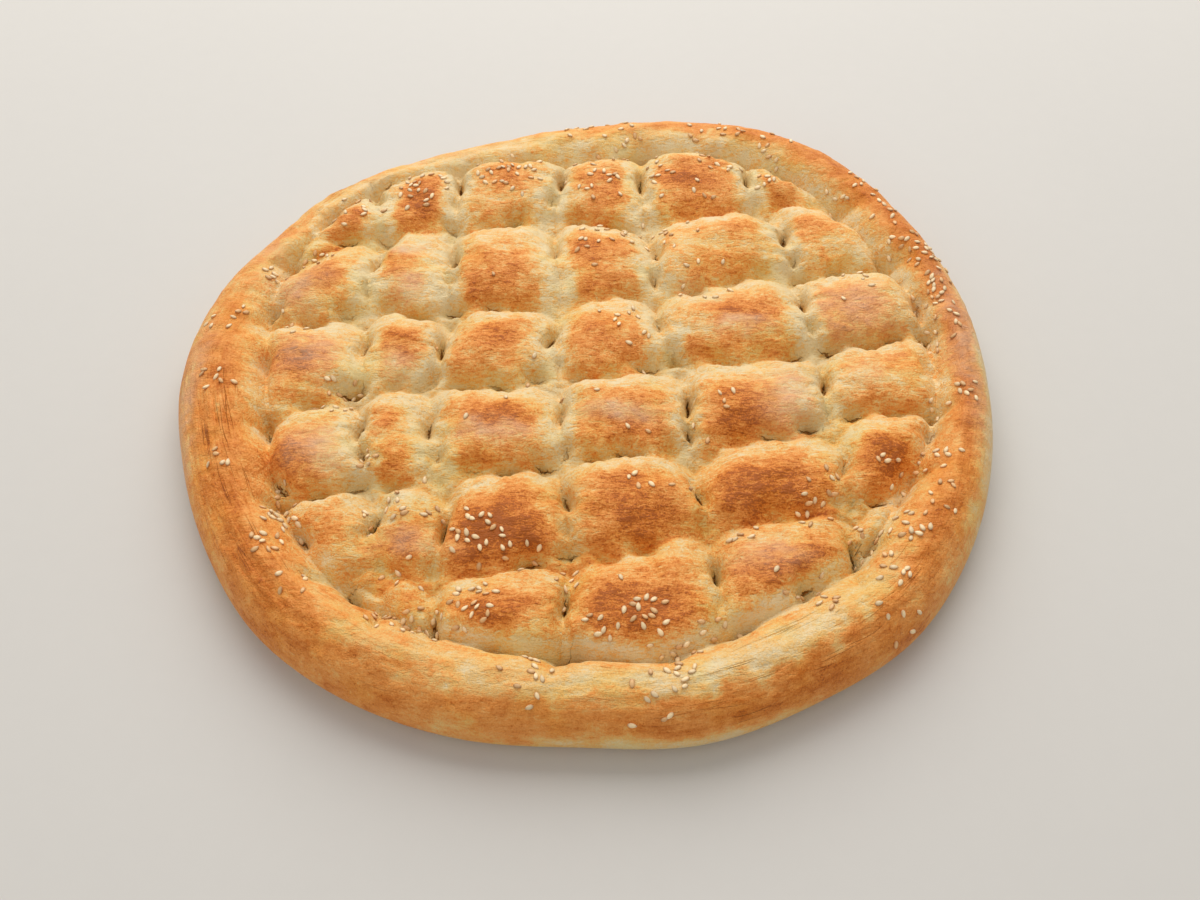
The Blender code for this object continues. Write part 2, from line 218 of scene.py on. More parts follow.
# Bands along the grooves that bake differently: their widths on the four sides of a pillow, and
# beside the rim's groove.
CREST_BAND = 15.0
FACE_BAND = 16.0
LEFT_BAND = 10.0
RIGHT_BAND = 15.0
RIM_SIDE_BAND = 11.0

# Of each row of pillows, from the back: how pale its column grooves are, how much painted shade
# warms and darkens the flanks beside them, how pale its crest is, and how baked it is.
VALLEY_PALENESS = (1.00, 0.95, 0.85, 0.75, 0.30, 0.25)
VALLEY_SHADE = (0.22, 0.22, 0.22, 0.26, 0.50, 0.60)
CREST_PALENESS = (0.75, 0.82, 0.80, 0.78, 0.64, 0.30)
ROW_BAKING = (0.28, 0.27, 0.25, 0.28, 0.34, 0.34)

# Unevenness of the baking, as noise like the relief's, and how far each one pushes.
SPREAD_ACROSS = (8, 8, 71, 3)
SPREAD_ALONG = (8, 8, 83, 3)
SPREAD = 5.0
RAGGED_SPOTS = (5, 5, 97, 3)
RAGGED_SPOT_SHARE = 0.15
RAGGED_FIBRES = (9, 2.8, 101, 3)
RAGGED_FIBRE_SHARE = 0.12
CREST_GAPS = (11, 11, 157, 2)
CREST_USUAL = 0.9
CREST_SWING = 0.5
BASE_SWINGS = (16, 10, 131, 2)
BASE_SWING = 0.16
# Gaps in the painted shade along the creases.
PIT_GAPS = (9, 9, 149, 2)

# Where each kind of crust begins and is complete, as shares of its band, of the way over the rim or
# of the way forward over a pillow, and how ragged the edges of the first two are. The underside's
# are shares of the widest line's height, those of the painted shade in the pits are millimetres of
# pressing, and its gaps' are noise.
CREST_FADE = (0.14, 0.70)
RIGHT_FADE = (0.28, 0.72)
CREST_RAGGED = 1.4
RIGHT_RAGGED = 1.5
LEFT_FADE = (0.30, 0.75)
RIM_SIDE_FADE = (0.25, 0.85)
FACE_FADE = (0.25, 0.80)
BROWN_FADE = (0.10, 0.50)
RIM_FADE = (0.1, 0.9)
OUTER_FADE = (0.1, 0.8)
INNER_FADE = (0.0, 0.34)
UNDER_FADE = (0.9, 0.1)
PIT_FADE = (4.0, 7.5)
PIT_GAP_FADE = (-0.3, 0.4)

# How strong each kind of crust is, and how much it takes from another. The baked top has a middle
# and a spread on the way forward over a pillow, and a dent is palest from DEEP_DENT millimetres on.
# The shades, and the pits along the creases, are painted shade.
LEFT_PALENESS = 0.9
GROOVE_PALENESS = 1.7
BROWN_BAKING = 0.95
# Browning is weaker at the back of each pillow: partly less browned, partly painted light on its
# top facing the light.
BROWNING_AND_LIGHT_BEHIND = 0.5
# Painted shade: the front faces of the pillows, turned from the light, are darker and more golden.
FACE_SHADE_DARKENING = 0.09
FACE_LOSS = 0.2
PALE_LOSS = 0.8
PUCKER_BAKING = 0.06
TOP_BAKING = 0.04
TOP_PLACE = (0.40, 0.16)
DEEP_DENT = 5.0
DENT_PALENESS = 0.75
UNDER_PALENESS = 0.6
DENT_SHADE = 0.35
FACE_SHADE = 0.45
LEFT_SHADE = 0.7
CREASE_PIT_SHADE = 0.6
RIM_SIDE_PIT = 0.5

# Unbaked foot of the rim in front: strength, middle and spread in degrees, and its fades inwards
# and upwards. The base below is baked by the tray.
PALE_FOOT = 0.95
PALE_FOOT_PLACE = (-78, 20)
PALE_FOOT_DEPTH = (8.5, 4.5)
PALE_FOOT_TOP = (16.0, 9.0)
BASE_BAKING = 0.45
BASE_TOP = (1.5, 0.0)

# Soft-edged patches: how much wider and deeper than given they reach, and how they fall off.
PATCH_WIDENING = 1.15
PATCH_DEEPENING = 1.2
PATCH_FALLOFF = 0.8
PATCH_POWER = 1.15

# Sprinkled seeds: patches as x, y, radius and count. The solid carries the first of each patch.
SEED_PATCHES = (
    (6, 129, 18, 28), (56, 131, 17, 17), (79, 120, 9, 9), (-32, 102, 16, 27), (-68, 93, 12, 18),
    (-92, 81, 11, 12), (4, 99, 13, 18), (42, 105, 19, 27), (74, 106, 10, 13), (-106, 54, 8, 8),
    (-121, 45, 5, 9), (-135, 21, 8, 9), (-131, -12, 8, 9), (-110, 19, 8, 5), (-89, -16, 10, 18),
    (8, 62, 14, 18), (33, 70, 13, 14), (48, 41, 12, 8), (110, 93, 10, 12), (120, 76, 9, 7),
    (127, 59, 8, 14), (135, 49, 7, 15), (132, 32, 6, 18), (132, 14, 9, 12), (104, 38, 11, 7),
    (16, 20, 12, 8), (133, -18, 8, 16), (50, -20, 7, 5), (-123, -51, 7, 8), (-105, -67, 6, 14),
    (-97, -72, 4, 8), (-102, -83, 6, 13), (-92, -98, 6, 7), (-99, -57, 8, 11), (-75, -45, 4, 9),
    (-67, -67, 9, 17), (-49, -69, 4, 5), (-34, -75, 9, 26), (-19, -83, 8, 9), (-5, -93, 5, 8),
    (-34, -105, 9, 28), (-62, -108, 6, 18), (-50, -110, 8, 22), (-59, -90, 10, 6),
    (-14, -129, 11, 13), (5, -112, 7, 9), (21, -110, 8, 24), (31, -123, 8, 19), (23, -137, 10, 14),
    (43, -110, 8, 8), (52, -75, 7, 7), (23, -59, 8, 5), (78, -67, 7, 11), (83, -56, 7, 7),
    (106, -51, 7, 9), (123, -45, 7, 11), (120, -65, 7, 11), (94, -78, 7, 11), (108, -77, 7, 14),
    (99, -93, 7, 13), (80, -102, 6, 9), (100, -108, 8, 7), (70, -94, 8, 6), (0, 14, 60, 10),
    (0, -56, 70, 12),
)
# Thicker places in the sprinkling, of which the solid carries nothing.
DENSE_PATCHES = (
    (130, 53, 7, 12), (135, 38, 6, 12), (137, 22, 5, 6), (-32, 101, 8, 8), (-67, 92, 7, 6),
)
SEED_SHARE = 0.15
FEWEST_SEEDS = 1
SEED_SPACING = 3.8
SEED_CLEARANCE = 1.7
SEED_DRAW = 5
DROP_HEIGHT = 60.0

# One seed: mesh, and how it narrows and thins towards its tip, as a share and a power. Its darker
# edge, painted shade where it meets the crust, begins and is complete at these shares of the way
# out. Each seed's own size, tilt in radians and lift off the crust as a share of its thickness
# vary.
SEED_SIDES = 10
SEED_RINGS = 6
SEED_NARROWING = (0.5, 2.2)
SEED_THINNING = (0.3, 2)
SEED_EDGE_SHADE = (0.68, 0.98)
SEED_SIZES = (0.88, 1.12)
SEED_TILTS = (0.16, 0.12)
SEED_LIFTS = (0.22, 0.40)
SEED_VARIETY_SEED = 23

# Where the oven browned the crust most: x, y, half width, half depth and strength of each patch.
BROWN_PATCHES = (
    (-96, 71, 9, 10, 0.55), (-67, 87, 9, 14, 0.60), (-33, 98, 10, 9, 0.45), (-33, 84, 13, 7, 0.25),
    (8, 95, 9, 13, 0.45), (42, 101, 15, 9, 0.50), (46, 88, 14, 7, 0.40), (80, 92, 8, 7, 0.45),
    (-105, 44, 9, 9, 0.45), (-72, 51, 8, 8, 0.35), (-33, 42, 15, 11, 0.52), (5, 54, 12, 13, 0.40),
    (10, 40, 12, 6, 0.35), (53, 70, 13, 5, 0.28), (50, 53, 13, 8, 0.10), (90, 76, 11, 9, 0.40),
    (104, 26, 12, 10, 0.36), (-104, 2, 10, 12, 0.64), (-70, 9, 10, 9, 0.35),
    (-31, 12, 13, 11, 0.38), (-54, 15, 5, 4, 0.40), (8, 11, 14, 12, 0.45), (28, 20, 5, 4, 0.35),
    (61, 23, 14, 8, 0.55), (48, 7, 9, 6, 0.40), (70, 6, 7, 6, 0.35), (-101, -48, 10, 9, 0.58),
    (-70, -28, 8, 6, 0.35), (-68, -48, 8, 6, 0.35), (-28, -26, 13, 7, 0.62), (-41, -47, 6, 6, 0.50),
    (-26, -42, 12, 5, 0.25), (12, -17, 13, 6, 0.20), (15, -33, 13, 5, 0.50),
    (57, -24, 11, 12, 0.68), (106, -21, 12, 9, 0.40), (-86, -74, 8, 7, 0.25),
    (-57, -84, 12, 9, 0.40), (-28, -77, 16, 12, 0.78), (12, -54, 11, 5, 0.45),
    (18, -73, 18, 10, 0.57), (62, -59, 22, 11, 0.66), (107, -49, 10, 11, 0.65),
    (-62, -103, 8, 6, 0.45), (-27, -108, 13, 12, 0.57), (18, -105, 17, 15, 0.63),
    (62, -92, 13, 9, 0.50), (79, -84, 10, 9, 0.57), (51, -101, 4, 4, 0.50), (117, 6, 7, 10, 0.35),
)

# Browning of the rim at its top, every 15 degrees from +X towards +Y.
RIM_BROWNING = (0.76, 0.78, 0.76, 0.74, 0.66, 0.54, 0.38, 0.34, 0.34, 0.40, 0.46, 0.54,
                0.62, 0.66, 0.76, 0.80, 0.68, 0.57, 0.55, 0.58, 0.60, 0.64, 0.74, 0.76)

# Every 30 degrees: how pale the inner slope of the rim is, where across the rim that begins, and
# how baked the outer side is.
INNER_PALENESS = (0.15, 0.25, 0.60, 0.85, 0.52, 0.38, 0.00, 0.12, 0.50, 0.66, 0.74, 0.34)
INNER_EDGE = (0.50, 0.50, 0.50, 0.46, 0.36, 0.40, 0.40, 0.34, 0.20, 0.20, 0.16, 0.38)
OUTER_BAKING = (0.00, 0.55, 0.90, 0.85, 0.75, 0.75, 0.75, 0.75, 0.85, 1.10, 1.20, 0.45)

# Pale floury bloom on the crust, with painted sheen among it: x, y, half width, half depth and
# strength of each patch.
FLOUR_AND_SHEEN_PATCHES = (
    (-90, -40, 9, 7, 0.60), (-33, -34, 11, 3, 0.55), (12, -26, 13, 3, 0.55), (77, -16, 9, 12, 0.55),
    (102, 24, 15, 16, 0.36), (103, -6, 10, 4, 0.20), (-71, 59, 5, 3, 0.80), (-66, 39, 7, 6, 0.50),
    (-110, 38, 7, 9, 0.50), (-125, 59, 8, 10, 0.22), (-98, 102, 14, 6, 0.18),
    (-64, 120, 20, 5, 0.25), (-100, 4, 12, 9, 0.35), (42, 35, 12, 4, 0.45), (58, 16, 8, 3, 0.55),
    (-58, -80, 10, 3, 0.45), (62, -86, 10, 5, 0.30), (-142, -29, 4, 30, 0.45),
    (144, 10, 7, 42, 0.46), (-70, -3, 9, 5, 0.35),
)

# Grain that every finish shares: its usual scales, the share of the coarse one in its tone, and its
# coarse and fine scale on the crust, on a seed and on the floor.
GRAIN_SCALES = (("Coarse", 60.0), ("Fine", 900.0))
COARSE_SHARE = 0.6
CRUST_GRAIN = (110.0, 750.0)
SEED_SPECKLE = (500.0, 2400.0)
FLOOR_GRAIN = (6.0, 120.0)

# Crust material: how far each pattern shifts the browning, and how much weaker mottling and fibres
# are on the rim, whose streaks are strongest where it is wrinkled.
MOTTLING = (("tone", 1.0), ("blotch", 0.5), ("skin", 0.60), ("pores", 0.7))
RIM_CALM = 0.30
FIBRE_SHARE = 1.0
RIM_FIBRE_LOSS = 0.80
STREAK_SHARE = 0.60
WRINKLED_STREAKS = (0.8, 0.2)
STROKE_SHARE = 0.60
CRACK_SHARE = 0.24
FRECKLE_SHARE = 0.25

# Slope and start of the lines that turn a noise into a mask.
CRACK_MASK = (-24.0, 1.0)
CRACKED_MASK = (8.0, -4.4)
FRECKLE_MASK = (8.0, -5.0)
FLOUR_AND_SHEEN_MASK = (1.6, -0.1)
YELLOW_MASK = (5.0, -2.3)

# Slits in millimetres: slope and start of their half width towards their ends and of their strength
# by the dent's depth, how far their edges wander, and how soft the edges are.
SLIT_WIDTH = (-0.50, 0.50)
SLIT_DEPTH = (0.4, -1.6)
SLIT_RAGGED = 2.6
SLIT_SOFTNESS = 0.35

# Noise of the patterns: scale, detail, roughness and swirl, of which the last two have defaults.
SKIN_NOISE = (430.0, 3.0, 0.55, 0.7)
FIBRE_NOISE = (1150.0, 2.0, 0.55, 0.9)
PORE_NOISE = (1900.0, 2.0)
BLOTCH_NOISE = (170.0, 3.0, 0.6)
FRECKLE_NOISE = (1000.0, 1.0)
YELLOW_NOISE = (70.0, 3.0)
STREAK_NOISE = (3.2, 4.0, 0.62)
STROKE_NOISE = (1.0, 3.0)
CRACK_NOISE = (1.7, 1.0)
CRACKED_NOISE = (0.9, 1.0)
SLIT_NOISE = (420.0, 2.0)

# How much each pattern stretches: across and along the loaf, or round the rim and across it.
SKIN_STRETCH = (0.38, 1.0, 1.0)
FIBRE_STRETCH = (0.30, 1.0, 1.0)
STROKE_STRETCH = (1.5, 1.5, 0.45)
CRACK_STRETCH = (0.5, 0.5, 1.1)

# Browning at which each colour of the crust stands, from dough to dark spots.
COLOUR_STOPS = (0.0, 0.28, 0.52, 0.82, 1.0)

# Tints that the colour is multiplied by, the first three with their strength. All but the first
# are painted shade: in the hollows, in the pits and creases, and in the slits.
YELLOW_TINT = (0.55, (1.0, 0.97, 0.66))
HOLLOW_SHADE_TINT = (0.75, (0.82, 0.74, 0.42))
# Painted shade in the pits and along the creases.
PIT_SHADE_TINT = (0.8, (0.70, 0.50, 0.20))
# Painted shade in the torn slits at the bottom of the dents.
SLIT_SHADE_TINT = (0.42, 0.24, 0.08)

# Relief and shine of the crust.
SKIN_RELIEF = 0.45
RELIEF = (("speckle", 0.20), ("blotch", 0.8), ("rim_relief", 0.14), ("pores", 0.25),
          ("fibres", 0.40), ("crack", -0.35), ("slit", -0.9))
RELIEF_STRENGTH = 0.9
RELIEF_DISTANCE = 1.2 * MM
CRUST_SPECULAR = 0.17
SPECKLE_ROUGHNESS = 0.22
SMOOTHEST = -0.08
FLOUR_AND_SHEEN_ROUGHNESS = 0.15

# Seed material: spread of tones and the darkest one, grain, and the darker edge of painted shade.
SEED_TONES = (0.30, 0.82)
SEED_GRAIN = 0.18
EDGE_SHADE_SHARE = 0.75
EDGE_SHADE_TINT = (0.52, 0.33, 0.22)
SEED_ROUGHNESS = 0.42
SEED_RELIEF_STRENGTH = 0.3
SEED_RELIEF_DISTANCE = 0.2 * MM

# Stage, in metres. The large light stands behind the loaf, the other at the front left, and the
# camera above the front edge, looking down at the loaf by its tilt in degrees. The floor's tones
# are spread and darkest, like the seeds'.
FLOOR_SIZE = 6.0
FLOOR_HEIGHT = -0.0002
FLOOR_TONES = (0.06, 0.97)
FLOOR_ROUGHNESS = 0.8
KEY_SIZE = 1.5
KEY_PLACE = (0.0, 0.98, 1.05)
FILL_SIZE = 1.6
FILL_PLACE = (-0.7, -1.1, 1.3)
ROOM_COLOUR = (0.95, 0.97, 1.0)
CAMERA_PLACE = (0.00608, -0.31034, 0.36259)
CAMERA_TILT = 38.16
CAMERA_LENS = 37.5
CAMERA_SENSOR = 36.0
CAMERA_NEAR = 0.01


class LoafSettings(bpy.types.PropertyGroup):
    """Sizes of the quilted crust and of the relief in its skin."""

    pillow_height: FloatProperty(
        name="Pillow height", description="Height of the pillows above the base",
        default=24.0 * MM, min=0.01, unit="LENGTH")
    groove_height: FloatProperty(
        name="Groove height", description="Height that the deepest grooves come down to",
        default=6.0 * MM, min=0.001, unit="LENGTH")
    dent_depth: FloatProperty(
        name="Dent depth", description="How deep the finger dents are, as a share of the usual",
        default=1.0, min=0.0, max=1.5)
    lump_depth: FloatProperty(
        name="Unevenness", description="Soft lumps of the hand-shaped dough",
        default=1.7 * MM, min=0.0, unit="LENGTH")
    wrinkle_depth: FloatProperty(
        name="Skin wrinkles", description="Fine wrinkles in the stretched skin of the dough",
        default=0.35 * MM, min=0.0, unit="LENGTH")
    fold_depth: FloatProperty(
        name="Folds", description="Small folds of the skin beside the grooves",
        default=0.5 * MM, min=0.0, unit="LENGTH")
    pucker_depth: FloatProperty(
        name="Puckers", description="Puckers of the skin that spread from the finger dents",
        default=0.6 * MM, min=0.0, unit="LENGTH")
    crease_depth: FloatProperty(
        name="Creases", description="Crease that the skin folds into along the grooves",
        default=0.9 * MM, min=0.0, unit="LENGTH")
    rim_wrinkle_depth: FloatProperty(
        name="Rim wrinkles", description="Wrinkles that run round the rim",
        default=0.8 * MM, min=0.0, unit="LENGTH")


class CrustLooks(bpy.types.PropertyGroup):
    """Colours of the crust, from unbrowned dough to the darkest spots."""

    dough: FloatVectorProperty(
        name="Dough", description="Unbrowned dough in the grooves", subtype="COLOR",
        default=(0.85, 0.67, 0.385), min=0.0, max=1.0)
    golden: FloatVectorProperty(
        name="Golden", description="Lightly baked crust", subtype="COLOR",
        default=(0.88, 0.52, 0.17), min=0.0, max=1.0)
    orange: FloatVectorProperty(
        name="Orange", description="Well baked crust", subtype="COLOR",
        default=(0.87, 0.335, 0.074), min=0.0, max=1.0)
    brown: FloatVectorProperty(
        name="Brown", description="Browned tops", subtype="COLOR",
        default=(0.64, 0.176, 0.021), min=0.0, max=1.0)
    dark: FloatVectorProperty(
        name="Dark spots", description="The darkest spots of the crust", subtype="COLOR",
        default=(0.41, 0.103, 0.014), min=0.0, max=1.0)
    # Colour of the floury bloom, which also serves as painted sheen.
    flour_and_sheen: FloatVectorProperty(
        name="Flour", description="Floury bloom on the crust", subtype="COLOR",
        default=(0.81, 0.61, 0.41), min=0.0, max=1.0)
    roughness: FloatProperty(
        name="Roughness", description="Roughness of the baked crust",
        default=0.46, min=0.0, max=1.0, subtype="FACTOR")


class SeedLooks(bpy.types.PropertyGroup):
    """Size and colours of the sesame seeds."""

    length: FloatProperty(
        name="Length", description="Length of a seed", default=2.9 * MM, min=0.001, unit="LENGTH")
    width: FloatProperty(
        name="Width", description="Width of a seed", default=1.8 * MM, min=0.0005, unit="LENGTH")
    thickness: FloatProperty(
        name="Thickness", description="Thickness of a seed", default=1.0 * MM, min=0.0002,
        unit="LENGTH")
    pale: FloatVectorProperty(
        name="Pale seed", description="Colour of a lightly baked seed", subtype="COLOR",
        default=(0.88, 0.65, 0.36), min=0.0, max=1.0)
    toasted: FloatVectorProperty(
        name="Toasted seed", description="Colour of a well toasted seed", subtype="COLOR",
        default=(0.74, 0.43, 0.18), min=0.0, max=1.0)
    toasted_share: FloatProperty(
        name="Toasted share", description="Share of the seeds that are well toasted",
        default=0.32, min=0.0, max=1.0, subtype="FACTOR")


class StageSettings(bpy.types.PropertyGroup):
    """Floor, light and camera around the loaf."""

    floor_colour: FloatVectorProperty(
        name="Floor", description="Colour of the plain floor", subtype="COLOR",
        default=(0.66, 0.62, 0.56), min=0.0, max=1.0)
    key_power: FloatProperty(
        name="Key light", description="Power of the large soft light behind the loaf", default=21.3,
        min=0.0, unit="POWER")
    fill_power: FloatProperty(
        name="Fill light", description="Power of the soft light in front of the loaf", default=4.4,
        min=0.0, unit="POWER")
    sky_strength: FloatProperty(
        name="Room light", description="Strength of the even light of the room", default=0.44,
        min=0.0)


# ---------------------------------------------------------------- form of the loaf


def smooth_through(values, place, closed):
    """Smooth curve through evenly spaced values, read at places counted in steps from the first."""
    values = np.asarray(values, float)
    last = len(values) - 1
    place = np.asarray(place, float) % len(values) if closed else np.clip(place, 0, last)
    first = np.floor(place).astype(int) if closed else np.minimum(place.astype(int), last - 1)
    t = place - first

    def value(index):
        return values[index % len(values)] if closed else values[np.clip(index, 0, last)]

    before, here, after, beyond = (value(first + step) for step in (-1, 0, 1, 2))
    bend = 2 * before - 5 * here + 4 * after - beyond
    twist = 3 * (here - after) + beyond - before
    return here + 0.5 * t * (after - before + t * (bend + t * twist))


def around_rim(values, angle):
    return smooth_through(values, angle / math.tau * len(values), closed=True)


def outline_centre():
    """Middle of the outline's box, which is put on the origin."""
    angle = np.linspace(0, math.tau, OUTLINE_SAMPLES, endpoint=False)
    radius = around_rim(OUTLINE_RADII, angle)
    across, along = radius * np.cos(angle), radius * np.sin(angle)
    return (across.max() + across.min()) / 2, (along.max() + along.min()) / 2


CENTRE = outline_centre()


def polar(x, y):
    """Angle around the loaf and distance inside its outline."""
    x, y = x + CENTRE[0], y + CENTRE[1]
    angle = np.arctan2(y, x)
    return angle, around_rim(OUTLINE_RADII, angle) - np.hypot(x, y)


def plan_point(angle, inside):
    radius = around_rim(OUTLINE_RADII, angle) - inside
    return radius * np.cos(angle) - CENTRE[0], radius * np.sin(angle) - CENTRE[1]


def row_lines(x):
    """The y of the rim's groove at the back, the row grooves, and the rim's groove in front."""
    place = x / STATION_STEP + (len(ROW_GROOVES[0]) - 1) / 2
    rows = [smooth_through(row, place, closed=False) for row in ROW_GROOVES]
    return np.stack([np.full_like(x, QUILT_BACK), *rows, np.full_like(x, QUILT_FRONT)])


def column_lines(y):
    place = y / STATION_STEP + (len(COLUMN_GROOVES[0]) - 1) / 2
    return np.stack([smooth_through(column, place, closed=False) for column in COLUMN_GROOVES])


def nearness(distance, slope):
    """1 on a groove's line, falling evenly to 0 where its slope ends."""
    return np.clip(1 - np.abs(distance) / slope, 0, 1)


def nearest_slope(distances, above, below):
    """Nearness to the nearest groove, whose two sides slope over different widths."""
    return nearness(distances, np.where(distances > 0, above, below)).max(axis=0)


def band(distances, width):
    """Nearness to the nearest groove on the side where the distances are above zero only."""
    return nearness(np.where(distances > 0, distances, width), width).max(axis=0)


def swing(place, other, waves):
    """Slow swing between -1 and 1 along a place, which itself comes and goes across it."""
    (length, phase), (other_length, other_phase) = waves
    return np.sin(place / length + phase) * np.cos(other / other_length + other_phase)


def wobble(place, other, wave):
    """Short wobble along a place, its phase pushed about across it."""
    length, other_length, push = wave
    return np.sin(place / length + push * np.sin(other / other_length))


def wander(x, y):
    """Plan places pushed a little off a regular pattern, as hand-shaped dough is."""
    across = swing(y, x, SWING_ACROSS)
    across += RIPPLE_SHARE * np.sin(x / RIPPLE_ACROSS[0] + y / RIPPLE_ACROSS[1])
    along = swing(x, y, SWING_ALONG)
    along += RIPPLE_SHARE * np.sin(x / RIPPLE_ALONG[0] + y / RIPPLE_ALONG[1])
    return (x + WANDER * across + WOBBLE * wobble(y, x, WOBBLE_ACROSS),
            y + WANDER * along + WOBBLE * wobble(x, y, WOBBLE_ALONG))


def column_dents():
    """Dents in each column groove of every row: place, heading and sizes. Each place is found in
    two rounds, because the row's line and the column's depend on each other."""
    for column in range(len(COLUMN_GROOVES)):
        for row in range(len(ROW_GROOVES) + 1):
            for lag, sizes in zip(DENT_LAGS, COLUMN_DENTS):
                x = column_lines(np.zeros(1))[column, 0]
                for _ in range(2):
                    y = row_lines(np.array([x]))[row, 0] - lag
                    x = column_lines(np.array([y]))[column, 0]
                yield x, y, math.pi / 2, *sizes


def row_dents():
    """Dents side by side along each row groove, from the left of the quilt to its right."""
    for row in range(len(ROW_GROOVES)):
        for x in np.arange(-QUILT_HALF_WIDTH, QUILT_HALF_WIDTH + 1, ROW_DENT_SPACING):
            here = np.array([x + ROW_DENT_SHIFT * row * ROW_DENT_SPACING])
            yield here[0], row_lines(here)[row + 1, 0] + ROW_DENT_SETBACK, 0.0, *ROW_DENT


def rim_dents():
    """Slits spaced evenly along the rim's groove."""
    for angle in np.arange(RIM_DENT_COUNT) * math.tau / RIM_DENT_COUNT:
        x, y = plan_point(angle, around_rim(RIM_WIDTHS, angle))
        yield x, y, angle + math.pi / 2, *RIM_DENT


def finger_dents():
    """Place, heading, half width, half length and depth of all the finger dents, each a little
    off its line and of its own depth, as a hand sets them."""
    draw = np.random.default_rng(DENT_SEED)
    dents = np.array([*row_dents(), *column_dents(), *rim_dents()])
    dents[:, :2] += draw.uniform(-DENT_DRIFT, DENT_DRIFT, (len(dents), 2))
    dents[:, 2] += draw.uniform(-DENT_TURN, DENT_TURN, len(dents))
    dents[:, 5] *= DENT_FULL_SHARE - dents[:, 6] * draw.random(len(dents))
    return dents[:, :6]


DENTS = finger_dents()
LIFTS = np.random.default_rng(PILLOW_SEED).uniform(-PILLOW_LIFT, PILLOW_LIFT, PILLOW_GRID)
COLUMN_FADES = COLUMN_FADE + COLUMN_VARIETY * np.random.default_rng(COLUMN_SEED).random(
    (PILLOW_GRID[0], len(COLUMN_GROOVES)))


class LoafForm:
    """Height of the crust at plan places, and what its browning is worked out from."""

    def __init__(self, x, y, loaf):
        pillow_height, floor_height = loaf.pillow_height / MM, loaf.groove_height / MM
        self.angle, self.inside = polar(x, y)
        width = around_rim(RIM_WIDTHS, self.angle)
        self.nose = NOSE_SHARE * width
        self.across_rim = self.inside / width
        x, y = wander(x, y)

        columns = x - column_lines(y)
        column = nearest_slope(columns, LEFT_SLOPE, RIGHT_SLOPE)
        lines = row_lines(x)
        lines[1:-1] += ROW_ARCH * (ARCH_BALANCE - column ** 2)
        rows = y - lines[1:-1]
        row = nearest_slope(rows, FRONT_SLOPE, BACK_SLOPE)
        rim = nearness(self.inside - width,
                       np.where(self.inside > width, RIM_SIDE_SLOPE, width - self.nose))

        self.row, pillow = (rows < 0).sum(axis=0), (columns > 0).sum(axis=0)
        picked = np.arange(len(x))
        behind, ahead = lines[self.row, picked], lines[self.row + 1, picked]
        self.forward = np.clip((behind - y) / (behind - ahead), 0, 1)

        self.quilted = np.clip((self.inside - self.nose) / (width - self.nose), 0, 1)
        self.on_rim = 1 - smoothstep(*RIM_FADE, self.quilted)
        bands = (band(rows, FACE_BAND), band(-rows, CREST_BAND),
                 band(columns, LEFT_BAND), band(-columns, RIGHT_BAND))
        self.face, self.crest, self.left_flank, self.right_flank = (
            self.quilted * share for share in bands)
        self.rim_side = self.quilted * nearness(self.inside - width, RIM_SIDE_BAND)
        groove = np.abs(columns).argmin(axis=0)
        fade = np.sin(math.pi * self.forward ** FADE_POWER) * COLUMN_FADES[self.row, groove]
        cuts = (self.quilted * COLUMN_CUT * (1 - fade) * column ** COLUMN_POWER,
                self.quilted * ROW_CUT * row ** ROW_POWER,
                around_rim(RIM_CUTS, self.angle) * rim ** RIM_SIDE_POWER)
        cut = sum(part ** JOIN_POWER for part in cuts) ** (1 / JOIN_POWER)
        self.full = (1 - np.clip(cut, 0, 1)) ** (1 / FULLNESS)
        rim_height = around_rim(RIM_HEIGHTS, self.angle)
        lift = LIFTS[self.row, pillow] * self.full
        sag = sum(depth * np.exp(-((x - sag_x) ** 2 + (y - sag_y) ** 2) / radius ** 2)
                  for sag_x, sag_y, radius, depth in SAGS)
        top = rim_height + self.quilted * (pillow_height + lift - sag - rim_height)
        height = floor_height + (top - floor_height) * self.full
        nearest_row = np.abs(rows - CREASE_SETBACK).min(axis=0)
        self.creased = np.maximum(
            self.quilted * np.exp(-(nearest_row / CREASE_HALF_WIDTH) ** 2),
            np.exp(-((self.inside - width) / CREASE_HALF_WIDTH) ** 2))
        self.mark_dents(x, y)
        height -= loaf.dent_depth * self.pressed
        height = np.maximum(height, floor_height + DENT_FLOOR * (height - floor_height))
        self.rounding = np.sqrt(1 - (1 - np.clip(self.inside / self.nose, 0, 1)) ** 2)
        self.height = WIDEST_HEIGHT + (height - WIDEST_HEIGHT) * self.rounding

    def mark_dents(self, x, y):
        """How deep the dents press, how puckered the skin is round them, and the place beside the
        nearest dent's slit: across it, along it as a share of its length, and the dent's depth."""
        self.pressed = np.zeros(len(x))
        self.puckered = np.zeros(len(x))
        self.slit_place = np.zeros((len(x), 3))
        nearest = np.full(len(x), SLIT_REACH)
        for dent_x, dent_y, heading, half_width, half_length, depth in DENTS:
            along = (x - dent_x) * math.cos(heading) + (y - dent_y) * math.sin(heading)
            across = (y - dent_y) * math.cos(heading) - (x - dent_x) * math.sin(heading)
            reach = (along / half_length) ** 2 + (across / half_width) ** 2
            self.pressed += depth * self.quilted * np.exp(-reach)
            distance = np.hypot(along, across)
            spread = depth / FULL_DENT * np.exp(-(distance / PUCKER_REACH) ** 2)
            turn = np.arctan2(across, along)
            self.puckered += spread * np.cos(PUCKERS * turn + PUCKER_TURN * depth)
            here = distance < nearest
            nearest = np.where(here, distance, nearest)
            length = SLIT_SHARE * half_length
            slit = np.stack([across, along / length, np.full(len(x), depth)], axis=1)
            self.slit_place[here] = slit[here]
        self.near_slit = smoothstep(SLIT_REACH, SLIT_WHOLE_SHARE * SLIT_REACH, nearest)


# ---------------------------------------------------------------- noise for relief and masks


def ease(t):
    return t * t * t * (t * (6 * t - 15) + 10)


